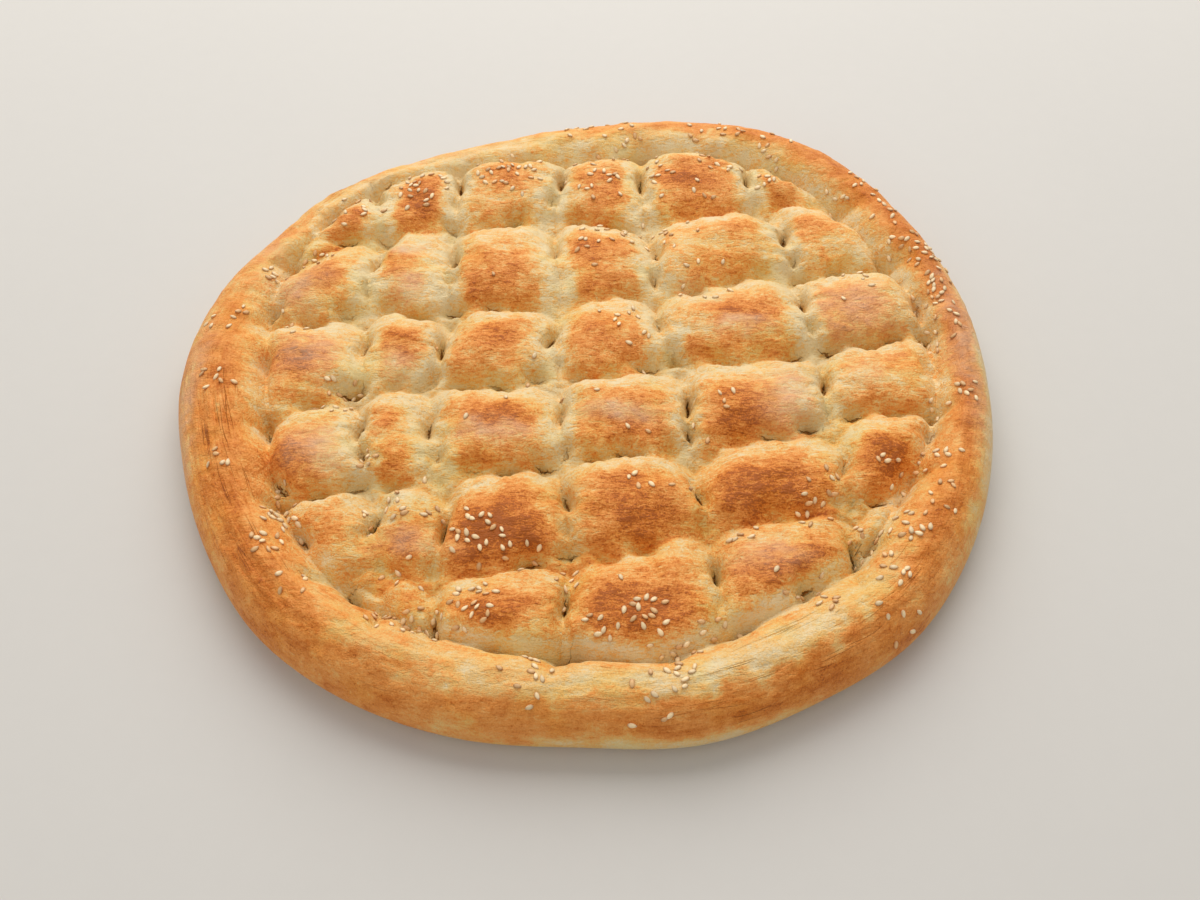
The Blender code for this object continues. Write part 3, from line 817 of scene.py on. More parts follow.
def smoothstep(low, high, value):
    t = np.clip((value - low) / (high - low), 0, 1)
    return t * t * (3 - 2 * t)


def lattice_noise(x, y, seed):
    """Smooth noise between -1 and 1 that changes over about one unit of x and y."""
    side = 256
    table = np.random.default_rng(seed).uniform(-1, 1, (side, side))
    column, row = np.floor(x).astype(int), np.floor(y).astype(int)
    across, along = ease(x - column), ease(y - row)
    left, right, front, back = column % side, (column + 1) % side, row % side, (row + 1) % side
    near = table[front, left] * (1 - across) + table[front, right] * across
    far = table[back, left] * (1 - across) + table[back, right] * across
    return near * (1 - along) + far * along


def layered_noise(x, y, seed, layers):
    """Noise with finer and weaker layers on top of each other."""
    total = sum(lattice_noise(x * 2 ** n, y * 2 ** n, seed + n) / 2 ** n for n in range(layers))
    return total / sum(1 / 2 ** n for n in range(layers))


def pattern(x, y, noise):
    """Noise at plan places, of a given size along X and Y, seed and number of layers."""
    across, along, seed, layers = noise
    return layered_noise(x / across, y / along, seed, layers)


def ridges(noise, sharpness):
    """Narrow ridges that run where the noise is zero."""
    return np.clip(1 - np.abs(noise) * sharpness, 0, 1)


def near_angle(angle, middle, spread):
    """1 at a middle angle, falling off smoothly over a spread, both in degrees."""
    return np.exp(-((np.degrees(angle) - middle) / spread) ** 2)


def patches(x, y, places):
    """Soft-edged elliptical patches, as the strongest one at each place."""
    found = np.zeros(len(x))
    for patch_x, patch_y, half_width, half_depth, strength in places:
        across = (x - patch_x) / (PATCH_WIDENING * half_width)
        along = (y - patch_y) / (PATCH_DEEPENING * half_depth)
        reach = across ** 2 + along ** 2
        found = np.maximum(found, strength * np.exp(-PATCH_FALLOFF * reach ** PATCH_POWER))
    return found


# ---------------------------------------------------------------- mesh helpers


def deselect_all():
    bpy.ops.object.select_all(action="DESELECT")


def places_of(thing):
    flat = np.empty(len(thing.data.vertices) * 3)
    thing.data.vertices.foreach_get("co", flat)
    return flat.reshape(-1, 3)


def put_places(thing, places):
    thing.data.vertices.foreach_set("co", np.ascontiguousarray(places, np.float32).ravel())
    thing.data.update()


def add_attribute(thing, name, values):
    values = np.asarray(values, np.float32)
    kind = "FLOAT_VECTOR" if values.ndim == 2 else "FLOAT"
    attribute = thing.data.attributes.new(name, kind, "POINT")
    attribute.data.foreach_set("vector" if values.ndim == 2 else "value", values.ravel())


def dress(thing, material):
    thing.data.materials.clear()
    thing.data.materials.append(material)


# ---------------------------------------------------------------- crust


def bend_grid_to_loaf(crust, loaf):
    """Turn the square grid between -1 and 1 into the loaf's top, its border on the widest line."""
    a, b = places_of(crust)[:, :2].T
    share = np.maximum(np.abs(a), np.abs(b))
    safe_a = np.where(a == 0, 1, a)
    safe_b = np.where(b == 0, 1, b)
    angle = np.where(np.abs(a) > np.abs(b),
                     math.pi / 4 * b / safe_a + np.where(a < 0, math.pi, 0),
                     math.pi / 2 - math.pi / 4 * a / safe_b + np.where(b < 0, math.pi, 0))
    edge = np.clip(1 - share, 0, 1)
    inside = (around_rim(OUTLINE_RADII, angle) * edge ** 2 * (1 + EDGE_CROWDING)
              / (edge + EDGE_CROWDING))
    x, y = plan_point(angle, inside)
    form = LoafForm(x, y, loaf)
    put_places(crust, np.stack([x, y, form.height + skin_relief(form, x, y, loaf)], axis=1) * MM)


def rim_wrinkling(angle):
    """How wrinkled the rim is: most at the left and at the front right."""
    left = near_angle(np.abs(angle), *LEFT_WRINKLES) * (angle < LEFT_WRINKLES_END)
    front_right = near_angle(angle, *FRONT_RIGHT_WRINKLES)
    return np.clip(RIM_WRINKLING + left + FRONT_RIGHT_SHARE * front_right, 0, 1)


def rim_grain(x, y, inside):
    """Places for noise that is drawn out along the rim, without a seam all the way round."""
    angle = np.arctan2(y, x)
    return np.stack([RIM_GRAIN_TURNS * np.cos(angle), RIM_GRAIN_TURNS * np.sin(angle),
                     inside / RIM_GRAIN_WIDTH], axis=1)


def skin_relief(form, x, y, loaf):
    """Lumps and wrinkles of the skin, in millimetres above the smooth form."""
    lumps = pattern(x, y, LUMPS) * loaf.lump_depth / MM
    skin = pattern(x, y, SKIN_WRINKLES) * loaf.wrinkle_depth / MM
    folding = smoothstep(*FOLD_FADE, form.full) * (1 - form.on_rim)
    folds = ridges(pattern(x, y, FOLD_LINES), FOLD_SHARPNESS) * folding * loaf.fold_depth / MM
    lines = pattern(form.angle * RIM_RADIUS, form.inside, RIM_LINES)
    deep = ridges(lines, RIM_SHARPNESS) * loaf.rim_wrinkle_depth / MM
    seamless = smoothstep(*SEAM_FADE, math.pi - np.abs(form.angle))
    above = smoothstep(*RIM_TOP_FADE, form.inside / form.nose)
    deep *= form.on_rim * above * seamless * rim_wrinkling(form.angle)
    puckers = np.clip(form.puckered, -1, 1) * form.quilted * loaf.pucker_depth / MM
    uneven = smoothstep(*CREASE_FADE, pattern(x, y, CREASE_GAPS))
    crease = form.creased * uneven * loaf.crease_depth / MM
    return form.rounding * (lumps + skin + puckers - folds - crease) - deep


def curl_under(crust):
    """Extrude the border down round the rim's underside to the base, and close the base."""
    bpy.ops.object.mode_set(mode="EDIT")
    bpy.ops.mesh.select_mode(type="EDGE")
    bpy.ops.mesh.select_all(action="DESELECT")
    bpy.ops.mesh.select_non_manifold(
        extend=False, use_wire=False, use_boundary=True, use_multi_face=False,
        use_non_contiguous=False, use_verts=False)
    rings = [("foot", ring / FOOT_RINGS) for ring in range(1, FOOT_RINGS + 1)]
    rings += [("base", share) for share in BASE_RINGS]
    for part, share in rings:
        bpy.ops.mesh.extrude_edges_move()
        shape = bmesh.from_edit_mesh(crust.data)
        for vert in (vert for vert in shape.verts if vert.select):
            angle = math.atan2(vert.co.y / MM + CENTRE[1], vert.co.x / MM + CENTRE[0])
            if part == "foot":
                turn = math.pi / 2 * share
                x, y = plan_point(angle, FOOT_INSET * (1 - math.cos(turn)))
                vert.co = Vector((x, y, WIDEST_HEIGHT * (1 - math.sin(turn)))) * MM
            else:
                x, y = plan_point(angle, FOOT_INSET)
                vert.co = Vector((x * share, y * share, 0.0)) * MM
        bmesh.update_edit_mesh(crust.data)
    bpy.ops.mesh.extrude_edges_move()
    bpy.ops.mesh.merge(type="CENTER")
    bpy.ops.mesh.select_all(action="SELECT")
    bpy.ops.mesh.normals_make_consistent(inside=False)
    bpy.ops.mesh.select_all(action="DESELECT")
    bpy.ops.object.mode_set(mode="OBJECT")


def rim_baking(form, z, ragged):
    """How baked the rim is: browned on top, paler on its inner slope and at its foot in front."""
    outer = around_rim(OUTER_BAKING, form.angle)
    outer += (1 - outer) * smoothstep(*OUTER_FADE, form.inside / form.nose + ragged)
    foot = near_angle(form.angle, *PALE_FOOT_PLACE) * smoothstep(*PALE_FOOT_DEPTH, form.inside)
    outer *= 1 - PALE_FOOT * foot * smoothstep(*PALE_FOOT_TOP, z)
    begun = form.across_rim - around_rim(INNER_EDGE, form.angle) + ragged
    inner = smoothstep(*INNER_FADE, begun) * around_rim(INNER_PALENESS, form.angle)
    return around_rim(RIM_BROWNING, form.angle) * outer * (1 - inner)


def quilt_paleness(form, x, y, ragged):
    """How pale the crests, both sides of the column grooves and the foot of the rim are."""
    crest = np.array(CREST_PALENESS)[form.row]
    crest *= np.clip(CREST_USUAL + CREST_SWING * pattern(x, y, CREST_GAPS), 0, 1)
    valley = np.array(VALLEY_PALENESS)[form.row]
    groove = np.clip(GROOVE_PALENESS * around_rim(INNER_PALENESS, form.angle), 0, 1)
    return np.maximum.reduce([
        crest * smoothstep(*CREST_FADE, form.crest + CREST_RAGGED * ragged),
        valley * smoothstep(*RIGHT_FADE, form.right_flank + RIGHT_RAGGED * ragged),
        LEFT_PALENESS * valley * smoothstep(*LEFT_FADE, form.left_flank + ragged),
        groove * smoothstep(*RIM_SIDE_FADE, form.rim_side + ragged)])


def quilt_baking(form, x, y, brown, pale, face):
    """How baked the pillows are: by row and darker in the brown patches, with painted shade
    darkening the faces.
    """
    base = np.array(ROW_BAKING)[form.row] + BASE_SWING * pattern(x, y, BASE_SWINGS)
    middle, spread = TOP_PLACE
    base += TOP_BAKING * np.exp(-((form.forward - middle) / spread) ** 2)
    browned = BROWN_BAKING * brown * (1 - FACE_LOSS * face) * (1 - PALE_LOSS * pale)
    # The front faces get darker with painted shade.
    bake = base * (1 - pale) + browned + FACE_SHADE_DARKENING * face
    return bake + PUCKER_BAKING * form.puckered * (1 - pale)


def mark_baking(crust, loaf):
    """Work out browning, flour with some painted sheen, painted shade in the hollows and pits, and
    rim streaks, and keep them as attributes.
    """
    x, y, z = (places_of(crust) / MM).T
    form = LoafForm(x, y, loaf)
    above = 1 - smoothstep(*UNDER_FADE, z / WIDEST_HEIGHT)
    spread_x = x + SPREAD * pattern(x, y, SPREAD_ACROSS)
    spread_y = y + SPREAD * pattern(x, y, SPREAD_ALONG)
    ragged = (RAGGED_SPOT_SHARE * pattern(x, y, RAGGED_SPOTS)
              + RAGGED_FIBRE_SHARE * pattern(spread_x, spread_y, RAGGED_FIBRES))

    pale = quilt_paleness(form, x, y, ragged)
    face = smoothstep(*FACE_FADE, form.face + ragged) * (1 - pale)
    brown = patches(spread_x, spread_y, BROWN_PATCHES)
    # Less brown at the back of each pillow: partly real, partly painted light.
    brown *= BROWNING_AND_LIGHT_BEHIND + (1 - BROWNING_AND_LIGHT_BEHIND) * smoothstep(*BROWN_FADE, form.forward + ragged)
    quilt_bake = quilt_baking(form, x, y, brown, pale, face)
    rim_bake = rim_baking(form, z, ragged)
    deep = np.clip(form.pressed / DEEP_DENT, 0, 1)
    bake = quilt_bake * (1 - form.on_rim) + rim_bake * form.on_rim
    bake *= (1 - DENT_PALENESS * deep) * (1 - UNDER_PALENESS * (1 - above))
    bake += BASE_BAKING * smoothstep(*BASE_TOP, z)

    # Painted shade: darker in the dents, on the front faces and on the flanks beside the column
    # grooves.
    flanks = np.maximum(form.right_flank, LEFT_SHADE * form.left_flank)
    hollow_shade = DENT_SHADE * deep * (1 - form.rim_side) + FACE_SHADE * face
    hollow_shade = np.clip(hollow_shade + np.array(VALLEY_SHADE)[form.row] * flanks, 0, 1)
    # Painted shade in the deeper dents and, broken by gaps, along the creases.
    creased = form.creased * smoothstep(*PIT_GAP_FADE, pattern(x, y, PIT_GAPS))
    pit_shade = np.maximum(smoothstep(*PIT_FADE, form.pressed), CREASE_PIT_SHADE * creased)
    for name, values in (
            ("bake", bake), ("flour_and_sheen", patches(spread_x, spread_y, FLOUR_AND_SHEEN_PATCHES) * (1 - pale)),
            ("hollow_shade", hollow_shade * above), ("pit_shade", pit_shade * above * (1 - RIM_SIDE_PIT * form.rim_side)),
            ("rim", form.on_rim * rim_wrinkling(form.angle) * above),
            ("on_rim", form.on_rim * above), ("rim_grain", rim_grain(x, y, form.inside)),
            ("slit_place", form.slit_place), ("near_slit", form.near_slit * form.quilted)):
        add_attribute(crust, name, values)


# ---------------------------------------------------------------- sesame seeds


def scatter(draw, patch_x, patch_y, patch_radius, count):
    """Plan places and headings spread evenly over one round patch."""
    for spread, turn, heading in draw.random((count, 3)):
        reach, turn = patch_radius * math.sqrt(spread), math.tau * turn
        yield patch_x + reach * math.cos(turn), patch_y + reach * math.sin(turn), math.tau * heading


def seed_places():
    """Plan places and headings of all the sprinkled seeds, those of the solid first."""
    draw = np.random.default_rng(SEED_DRAW)
    kept, later = [], []
    for patch in SEED_PATCHES:
        places = list(scatter(draw, *patch))
        first = max(FEWEST_SEEDS, round(len(places) * SEED_SHARE))
        kept += places[:first]
        later += places[first:]
    for patch in DENSE_PATCHES:
        later += scatter(draw, *patch)
    chosen = []
    for places, spacing in ((kept, SEED_SPACING), (later, SEED_CLEARANCE)):
        for x, y, heading in places:
            if all(math.hypot(x - other[0], y - other[1]) > spacing for other in chosen):
                chosen.append((x, y, heading))
    return chosen


def model_seed(looks):
    """One sesame seed lying flat, its narrow end towards +X, its rim marked for a darker edge of
    painted shade.
    """
    deselect_all()
    bpy.ops.mesh.primitive_uv_sphere_add(segments=SEED_SIDES, ring_count=SEED_RINGS, radius=0.5)
    seed = bpy.context.object
    bpy.ops.object.mode_set(mode="EDIT")
    bpy.ops.transform.resize(value=(looks.length, looks.width, looks.thickness))
    bpy.ops.object.mode_set(mode="OBJECT")
    places = places_of(seed)
    along = places[:, 0] / looks.length + 0.5
    for axis, (share, power) in ((1, SEED_NARROWING), (2, SEED_THINNING)):
        places[:, axis] *= 1 - share * along ** power
    put_places(seed, places)
    outwards = 2 * np.hypot(places[:, 0] / looks.length, places[:, 1] / looks.width)
    add_attribute(seed, "edge", smoothstep(*SEED_EDGE_SHADE, outwards))
    bpy.ops.object.shade_smooth()
    return seed


def lay_seeds(seed, name, places, surface, rng, material):
    """Copy the seed to its places on the crust, and join the copies to one piece."""
    copies = []
    for x, y, heading in places:
        above = Vector((x, y, DROP_HEIGHT)) * MM
        place, normal, _, _ = surface.ray_cast(above, Vector((0, 0, -1)))
        if place is None:
            continue
        size = rng.uniform(*SEED_SIZES)
        roll, pitch = (rng.normal(0, tilt) for tilt in SEED_TILTS)
        tilt = Euler((roll, pitch, heading)).to_matrix().to_4x4()
        lie = normal.to_track_quat("Z", "X").to_matrix().to_4x4()
        lift = seed.dimensions.z * rng.uniform(*SEED_LIFTS)
        copy = seed.copy()
        copy.data = seed.data.copy()
        bpy.context.collection.objects.link(copy)
        add_attribute(copy, "tone", np.full(len(copy.data.vertices), rng.random()))
        copy.matrix_world = (Matrix.Translation(place + normal * lift) @ lie @ tilt
                             @ Matrix.Scale(size, 4))
        copies.append(copy)
    deselect_all()
    for copy in copies:
        copy.select_set(True)
    bpy.context.view_layer.objects.active = copies[0]
    bpy.ops.object.join()
    joined = bpy.context.object
    joined.name = joined.data.name = name
    bpy.ops.object.transform_apply(location=True, rotation=True, scale=True)
    dress(joined, material)
    return joined


# ---------------------------------------------------------------- materials


class NodeBench:
    """A short way to add and join shader nodes."""

    def __init__(self, tree):
        self.tree = tree

    def add(self, kind, inputs=None, **settings):
        node = self.tree.nodes.new(kind)
        for name, value in settings.items():
            setattr(node, name, value)
        for name, value in (inputs or {}).items():
            socket = node.inputs[name]
            if isinstance(value, bpy.types.NodeSocket):
                self.tree.links.new(value, socket)
            else:
                socket.default_value = value
        return node

    def math(self, operation, *values, clamp=False):
        inputs = dict(enumerate(values))
        return self.add("ShaderNodeMath", inputs, operation=operation, use_clamp=clamp).outputs[0]

    def line(self, value, slope, start, clamp=False):
        """A value times a slope, added to a start."""
        return self.math("MULTIPLY_ADD", value, slope, start, clamp=clamp)

    def centred(self, noise):
        return self.math("SUBTRACT", noise, 0.5)

    def attribute(self, name, output="Fac"):
        return self.add("ShaderNodeAttribute", attribute_name=name).outputs[output]

    def noise(self, place, scale, detail=3.0, rough=0.55, swirl=0.0):
        return self.add("ShaderNodeTexNoise", {
            "Vector": place, "Scale": scale, "Detail": detail, "Roughness": rough,
            "Distortion": swirl}).outputs["Fac"]

    def stretched(self, place, scale):
        return self.add("ShaderNodeMapping", {"Vector": place, "Scale": scale}).outputs[0]

    def mix(self, share, first, second, blend="MIX"):
        node = self.add("ShaderNodeMix", data_type="RGBA", blend_type=blend)
        for index, value in ((0, share), (6, first), (7, second)):
            if isinstance(value, bpy.types.NodeSocket):
                self.tree.links.new(value, node.inputs[index])
            else:
                node.inputs[index].default_value = value
        return node.outputs[2]

    def ramp(self, value, stops):
        node = self.add("ShaderNodeValToRGB", {"Fac": value})
        marks = node.color_ramp.elements
        while len(marks) < len(stops):
            marks.new(0.5)
        for mark, (position, colour) in zip(marks, stops):
            mark.position = position
            mark.color = colour
        return node.outputs["Color"]

    def bump(self, surface, relief, strength, distance):
        node = self.add("ShaderNodeBump",
                        {"Height": relief, "Strength": strength, "Distance": distance})
        self.tree.links.new(node.outputs["Normal"], surface.inputs["Normal"])


def opaque(colour):
    return (*colour, 1.0)


def grain_group():
    """Fine grain that every finish shares: uneven tone, and relief for a bump."""
    group = bpy.data.node_groups.new("food_grain", "ShaderNodeTree")
    for name, default in GRAIN_SCALES:
        socket = group.interface.new_socket(name, in_out="INPUT", socket_type="NodeSocketFloat")
        socket.default_value = default
    for name in ("Tone", "Relief"):
        group.interface.new_socket(name, in_out="OUTPUT", socket_type="NodeSocketFloat")
    bench = NodeBench(group)
    given = bench.add("NodeGroupInput")
    place = bench.add("ShaderNodeTexCoord").outputs["Object"]
    coarse = bench.noise(place, given.outputs["Coarse"], detail=4.0)
    fine = bench.noise(place, given.outputs["Fine"], detail=3.0, rough=0.6)
    tone = bench.math("ADD", bench.math("MULTIPLY", coarse, COARSE_SHARE),
                      bench.math("MULTIPLY", fine, 1 - COARSE_SHARE))
    out = bench.add("NodeGroupOutput")
    group.links.new(tone, out.inputs["Tone"])
    group.links.new(fine, out.inputs["Relief"])
    return group


def use_grain(bench, grain, coarse, fine):
    return bench.add("ShaderNodeGroup", {"Coarse": coarse, "Fine": fine}, node_tree=grain)


def new_material(name):
    material = bpy.data.materials.new(name)
    material.use_nodes = True
    bench = NodeBench(material.node_tree)
    return material, bench, material.node_tree.nodes["Principled BSDF"]


def dent_slits(bench, place):
    """Thin ragged line along the bottom of the deeper dents, from the places beside them: where
    painted shade darkens them and their relief sinks.
    """
    axes = bench.add("ShaderNodeSeparateXYZ", {"Vector": bench.attribute("slit_place", "Vector")})
    ragged = bench.centred(bench.noise(place, *SLIT_NOISE))
    across = bench.math("ABSOLUTE", bench.line(ragged, SLIT_RAGGED, axes.outputs["X"]))
    end = bench.math("POWER", bench.math("ABSOLUTE", axes.outputs["Y"]), 2.0)
    width = bench.line(end, *SLIT_WIDTH)
    slit = bench.math("DIVIDE", bench.math("SUBTRACT", width, across), SLIT_SOFTNESS, clamp=True)
    slit = bench.math("MULTIPLY", slit, bench.line(axes.outputs["Z"], *SLIT_DEPTH, clamp=True))
    return bench.math("MULTIPLY", slit, bench.attribute("near_slit"))


def rim_cracks(bench, rim_place):
    """Fine cracks along the rim, in some places only and where it is wrinkled."""
    noise = bench.noise(bench.stretched(rim_place, CRACK_STRETCH), *CRACK_NOISE)
    crack = bench.line(bench.math("ABSOLUTE", bench.centred(noise)), *CRACK_MASK, clamp=True)
    cracked = bench.line(bench.noise(rim_place, *CRACKED_NOISE), *CRACKED_MASK, clamp=True)
    return bench.math("MULTIPLY", bench.math("MULTIPLY", crack, cracked), bench.attribute("rim"))


def crust_patterns(bench, grain):
    """The patterns that the crust's browning, tints and relief are made of."""
    place = bench.add("ShaderNodeTexCoord").outputs["Object"]
    rim_place = bench.attribute("rim_grain", "Vector")
    speckle = use_grain(bench, grain, *CRUST_GRAIN)
    streak = bench.noise(rim_place, *STREAK_NOISE)
    return {
        "tone": speckle.outputs["Tone"],
        "speckle": speckle.outputs["Relief"],
        "skin": bench.noise(bench.stretched(place, SKIN_STRETCH), *SKIN_NOISE),
        "fibres": bench.noise(bench.stretched(place, FIBRE_STRETCH), *FIBRE_NOISE),
        "pores": bench.noise(place, *PORE_NOISE),
        "blotch": bench.noise(place, *BLOTCH_NOISE),
        "freckles": bench.noise(place, *FRECKLE_NOISE),
        "yellow": bench.noise(place, *YELLOW_NOISE),
        "rim_streak": streak,
        "rim_stroke": bench.noise(bench.stretched(rim_place, STROKE_STRETCH), *STROKE_NOISE),
        "rim_relief": bench.math("MULTIPLY", streak, bench.attribute("on_rim")),
        "crack": rim_cracks(bench, rim_place),
        "slit": dent_slits(bench, place),
    }


def crust_browning(bench, patterns):
    """The baking kept on the crust, made uneven by the patterns."""
    bake, on_rim = bench.attribute("bake"), bench.attribute("on_rim")
    mottle = bench.line(on_rim, -RIM_CALM, 1.0)
    for name, share in MOTTLING:
        uneven = bench.math("MULTIPLY", bench.centred(patterns[name]), mottle)
        bake = bench.line(uneven, share, bake)
    fibrous = bench.line(on_rim, -RIM_FIBRE_LOSS, FIBRE_SHARE)
    bake = bench.line(bench.centred(patterns["fibres"]), fibrous, bake)
    streaks = bench.math("MULTIPLY", bench.centred(patterns["rim_streak"]), STREAK_SHARE)
    wrinkled = bench.line(bench.attribute("rim"), *WRINKLED_STREAKS)
    bake = bench.line(bench.math("MULTIPLY", streaks, wrinkled), on_rim, bake)
    strokes = bench.math("MULTIPLY", bench.centred(patterns["rim_stroke"]), STROKE_SHARE)
    bake = bench.line(strokes, on_rim, bake)
    bake = bench.line(patterns["crack"], CRACK_SHARE, bake)
    freckle = bench.line(patterns["freckles"], *FRECKLE_MASK, clamp=True)
    return bench.line(bench.math("MULTIPLY", freckle, bake), FRECKLE_SHARE, bake, clamp=True)


def crust_material(looks, grain):
    """Baked crust: a scale of browning, floury bloom with some painted sheen, painted shade in the
    hollows, pits and slits, and a fine relief.
    """
    material, bench, surface = new_material("baked_crust")
    tree = material.node_tree
    patterns = crust_patterns(bench, grain)
    scale = (looks.dough, looks.golden, looks.orange, looks.brown, looks.dark)
    colour = bench.ramp(crust_browning(bench, patterns),
                        [(stop, opaque(shade)) for stop, shade in zip(COLOUR_STOPS, scale)])
    # Floury bloom, partly painted sheen.
    flour_and_sheen = bench.math("MULTIPLY", bench.attribute("flour_and_sheen"),
                       bench.line(patterns["skin"], *FLOUR_AND_SHEEN_MASK), clamp=True)
    colour = bench.mix(flour_and_sheen, colour, opaque(looks.flour_and_sheen))
    yellowed = bench.line(patterns["yellow"], *YELLOW_MASK, clamp=True)
    # A yellowing, then painted shade in the hollows and in the pits.
    for mask, (share, tint) in (
            (yellowed, YELLOW_TINT), (bench.attribute("hollow_shade"), HOLLOW_SHADE_TINT),
            (bench.attribute("pit_shade"), PIT_SHADE_TINT)):
        strength = bench.math("MULTIPLY", mask, share)
        colour = bench.mix(strength, colour, opaque(tint), blend="MULTIPLY")
    # Painted shade in the slits.
    colour = bench.mix(patterns["slit"], colour, opaque(SLIT_SHADE_TINT), blend="MULTIPLY")
    tree.links.new(colour, surface.inputs["Base Color"])

    surface.inputs["Specular IOR Level"].default_value = CRUST_SPECULAR
    rough = bench.line(patterns["speckle"], SPECKLE_ROUGHNESS, looks.roughness + SMOOTHEST)
    tree.links.new(bench.line(flour_and_sheen, FLOUR_AND_SHEEN_ROUGHNESS, rough, clamp=True),
                   surface.inputs["Roughness"])
    relief = bench.math("MULTIPLY", patterns["skin"], SKIN_RELIEF)
    for name, share in RELIEF:
        relief = bench.line(patterns[name], share, relief)
    bench.bump(surface, relief, RELIEF_STRENGTH, RELIEF_DISTANCE)
    return material


def toned(bench, colour, tone):
    """A colour made lighter and darker by a tone."""
    shade = bench.add("ShaderNodeCombineColor", {"Red": tone, "Green": tone, "Blue": tone})
    return bench.mix(1.0, opaque(colour), shade.outputs[0], blend="MULTIPLY")


def seed_material(name, colour, grain):
    """Hulled seed, each of its own tone, with a darker edge of painted shade."""
    material, bench, surface = new_material(name)
    speckle = use_grain(bench, grain, *SEED_SPECKLE)
    tone = bench.line(bench.attribute("tone"), *SEED_TONES)
    tone = bench.line(speckle.outputs["Tone"], SEED_GRAIN, tone)
    # Painted shade round the seed's edge.
    edge = bench.math("MULTIPLY", bench.attribute("edge"), EDGE_SHADE_SHARE)
    edge_shade_colour = tuple(part * tint for part, tint in zip(colour, EDGE_SHADE_TINT))
    base = bench.mix(edge, toned(bench, colour, tone), opaque(edge_shade_colour))
    material.node_tree.links.new(base, surface.inputs["Base Color"])
    surface.inputs["Roughness"].default_value = SEED_ROUGHNESS
    bench.bump(surface, speckle.outputs["Relief"], SEED_RELIEF_STRENGTH, SEED_RELIEF_DISTANCE)
    return material


def floor_material(colour, grain):
    material, bench, surface = new_material("plain_floor")
    speckle = use_grain(bench, grain, *FLOOR_GRAIN)
    shade = bench.line(speckle.outputs["Tone"], *FLOOR_TONES)
    material.node_tree.links.new(toned(bench, colour, shade), surface.inputs["Base Color"])
    surface.inputs["Roughness"].default_value = FLOOR_ROUGHNESS
    return material


def shared_grain():
    return bpy.data.node_groups.get("food_grain") or grain_group()


# ---------------------------------------------------------------- operators


class BREAD_OT_make_crust(bpy.types.Operator):
    """Model the browned crust in the form of the solid"""

    bl_idname = "bread.make_crust"
    bl_label = "Make crust"

    def execute(self, context):
        loaf, looks = context.scene.bread_loaf, context.scene.bread_crust
        deselect_all()
        bpy.ops.mesh.primitive_grid_add(
            x_subdivisions=GRID_CELLS, y_subdivisions=GRID_CELLS, size=2)
        crust = context.object
        crust.name = crust.data.name = "crust"
        bend_grid_to_loaf(crust, loaf)
        curl_under(crust)
        mark_baking(crust, loaf)
        bpy.ops.object.shade_smooth_by_angle(angle=math.radians(CREASE_ANGLE))
        dress(crust, crust_material(looks, shared_grain()))
        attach(crust, "root")
        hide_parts("bread")
        return {"FINISHED"}


class BREAD_OT_sprinkle_seeds(bpy.types.Operator):
    """Lay the sesame seeds on the crust"""

    bl_idname = "bread.sprinkle_seeds"
    bl_label = "Sprinkle seeds"

    def execute(self, context):
        looks = context.scene.bread_seeds
        crust = bpy.data.objects.get("crust")
        if crust is None:
            raise RuntimeError("make the crust before its seeds")
        surface = BVHTree.FromObject(crust, context.evaluated_depsgraph_get())
        rng = np.random.default_rng(SEED_VARIETY_SEED)
        places = seed_places()
        toasted = rng.random(len(places)) < looks.toasted_share
        grain = shared_grain()
        seed = model_seed(looks)
        for name, colour, wanted in (("sesame_pale", looks.pale, False),
                                     ("sesame_toasted", looks.toasted, True)):
            chosen = [place for place, is_toasted in zip(places, toasted) if is_toasted == wanted]
            material = seed_material(name, tuple(colour), grain)
            seeds = lay_seeds(seed, name, chosen, surface, rng, material)
            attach(seeds, "root")
        bpy.data.objects.remove(seed)
        return {"FINISHED"}


class BREAD_OT_set_stage(bpy.types.Operator):
    """Set the floor, the soft light and the camera"""

    bl_idname = "bread.set_stage"
    bl_label = "Set stage"

    def execute(self, context):
        stage = context.scene.bread_stage
        deselect_all()
        bpy.ops.mesh.primitive_plane_add(size=FLOOR_SIZE, location=(0, 0, FLOOR_HEIGHT))
        floor = context.object
        floor.name = floor.data.name = "floor"
        bpy.ops.object.transform_apply(location=True)
        dress(floor, floor_material(tuple(stage.floor_colour), shared_grain()))

        add_soft_light("key_light", stage.key_power, KEY_SIZE, Vector(KEY_PLACE))
        add_soft_light("fill_light", stage.fill_power, FILL_SIZE, Vector(FILL_PLACE))
        world = bpy.data.worlds.new("soft_room")
        world.use_nodes = True
        room = world.node_tree.nodes["Background"]
        room.inputs["Color"].default_value = opaque(ROOM_COLOUR)
        room.inputs["Strength"].default_value = stage.sky_strength
        context.scene.world = world
        context.scene.view_settings.view_transform = "Standard"
        add_camera()
        return {"FINISHED"}


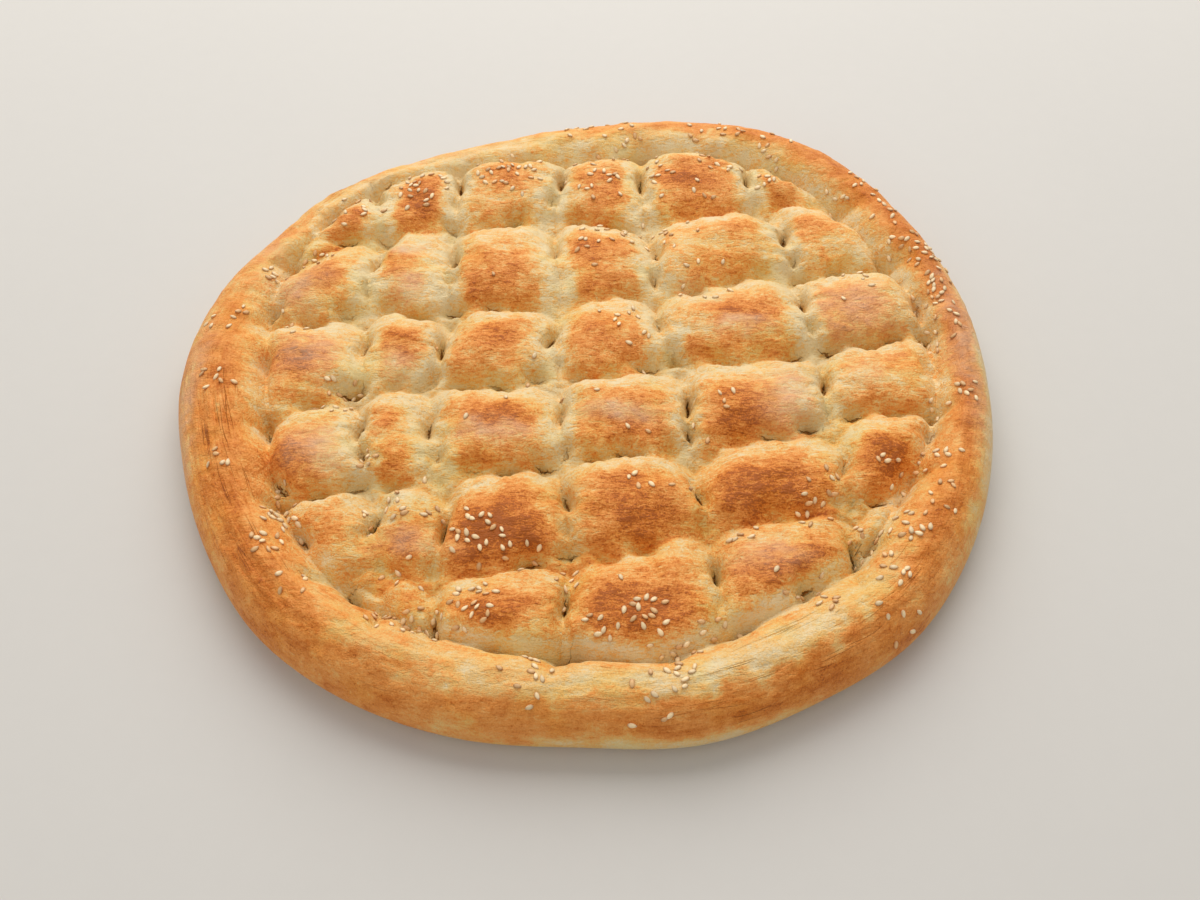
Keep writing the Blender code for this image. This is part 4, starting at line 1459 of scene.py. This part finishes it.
def add_soft_light(name, power, size, place):
    deselect_all()
    bpy.ops.object.light_add(type="AREA", location=place)
    light = bpy.context.object
    light.name = light.data.name = name
    light.data.energy = power
    light.data.size = size
    light.rotation_euler = (-place).to_track_quat("-Z", "Y").to_euler()


def add_camera():
    deselect_all()
    bpy.ops.object.camera_add(location=CAMERA_PLACE, rotation=(math.radians(CAMERA_TILT), 0, 0))
    camera = bpy.context.object
    camera.name = camera.data.name = "camera"
    camera.data.sensor_width = CAMERA_SENSOR
    camera.data.lens = CAMERA_LENS
    camera.data.clip_start = CAMERA_NEAR
    bpy.context.scene.camera = camera


class BREAD_PT_panel(bpy.types.Panel):
    """Settings and steps of the loaf"""

    bl_idname = "BREAD_PT_panel"
    bl_label = "Turkish Bread"
    bl_space_type = "VIEW_3D"
    bl_region_type = "UI"
    bl_category = "Bread"

    def draw(self, context):
        steps = ((context.scene.bread_loaf, None), (context.scene.bread_crust, "bread.make_crust"),
                 (context.scene.bread_seeds, "bread.sprinkle_seeds"),
                 (context.scene.bread_stage, "bread.set_stage"))
        for settings, operator in steps:
            box = self.layout.box()
            for name in settings.bl_rna.properties.keys():
                if name not in ("rna_type", "name"):
                    box.prop(settings, name)
            if operator:
                box.operator(operator)


CLASSES = (LoafSettings, CrustLooks, SeedLooks, StageSettings, BREAD_OT_make_crust,
           BREAD_OT_sprinkle_seeds, BREAD_OT_set_stage, BREAD_PT_panel)
SETTINGS = {"bread_loaf": LoafSettings, "bread_crust": CrustLooks, "bread_seeds": SeedLooks,
            "bread_stage": StageSettings}


def register():
    for item in CLASSES:
        bpy.utils.register_class(item)
    for name, group in SETTINGS.items():
        setattr(bpy.types.Scene, name, PointerProperty(type=group))


def unregister():
    for name in SETTINGS:
        delattr(bpy.types.Scene, name)
    for item in reversed(CLASSES):
        bpy.utils.unregister_class(item)


def main():
    register()
    bpy.ops.bread.set_stage()
    bpy.ops.bread.make_crust()
    bpy.ops.bread.sprinkle_seeds()


if __name__ == "__main__":
    main()
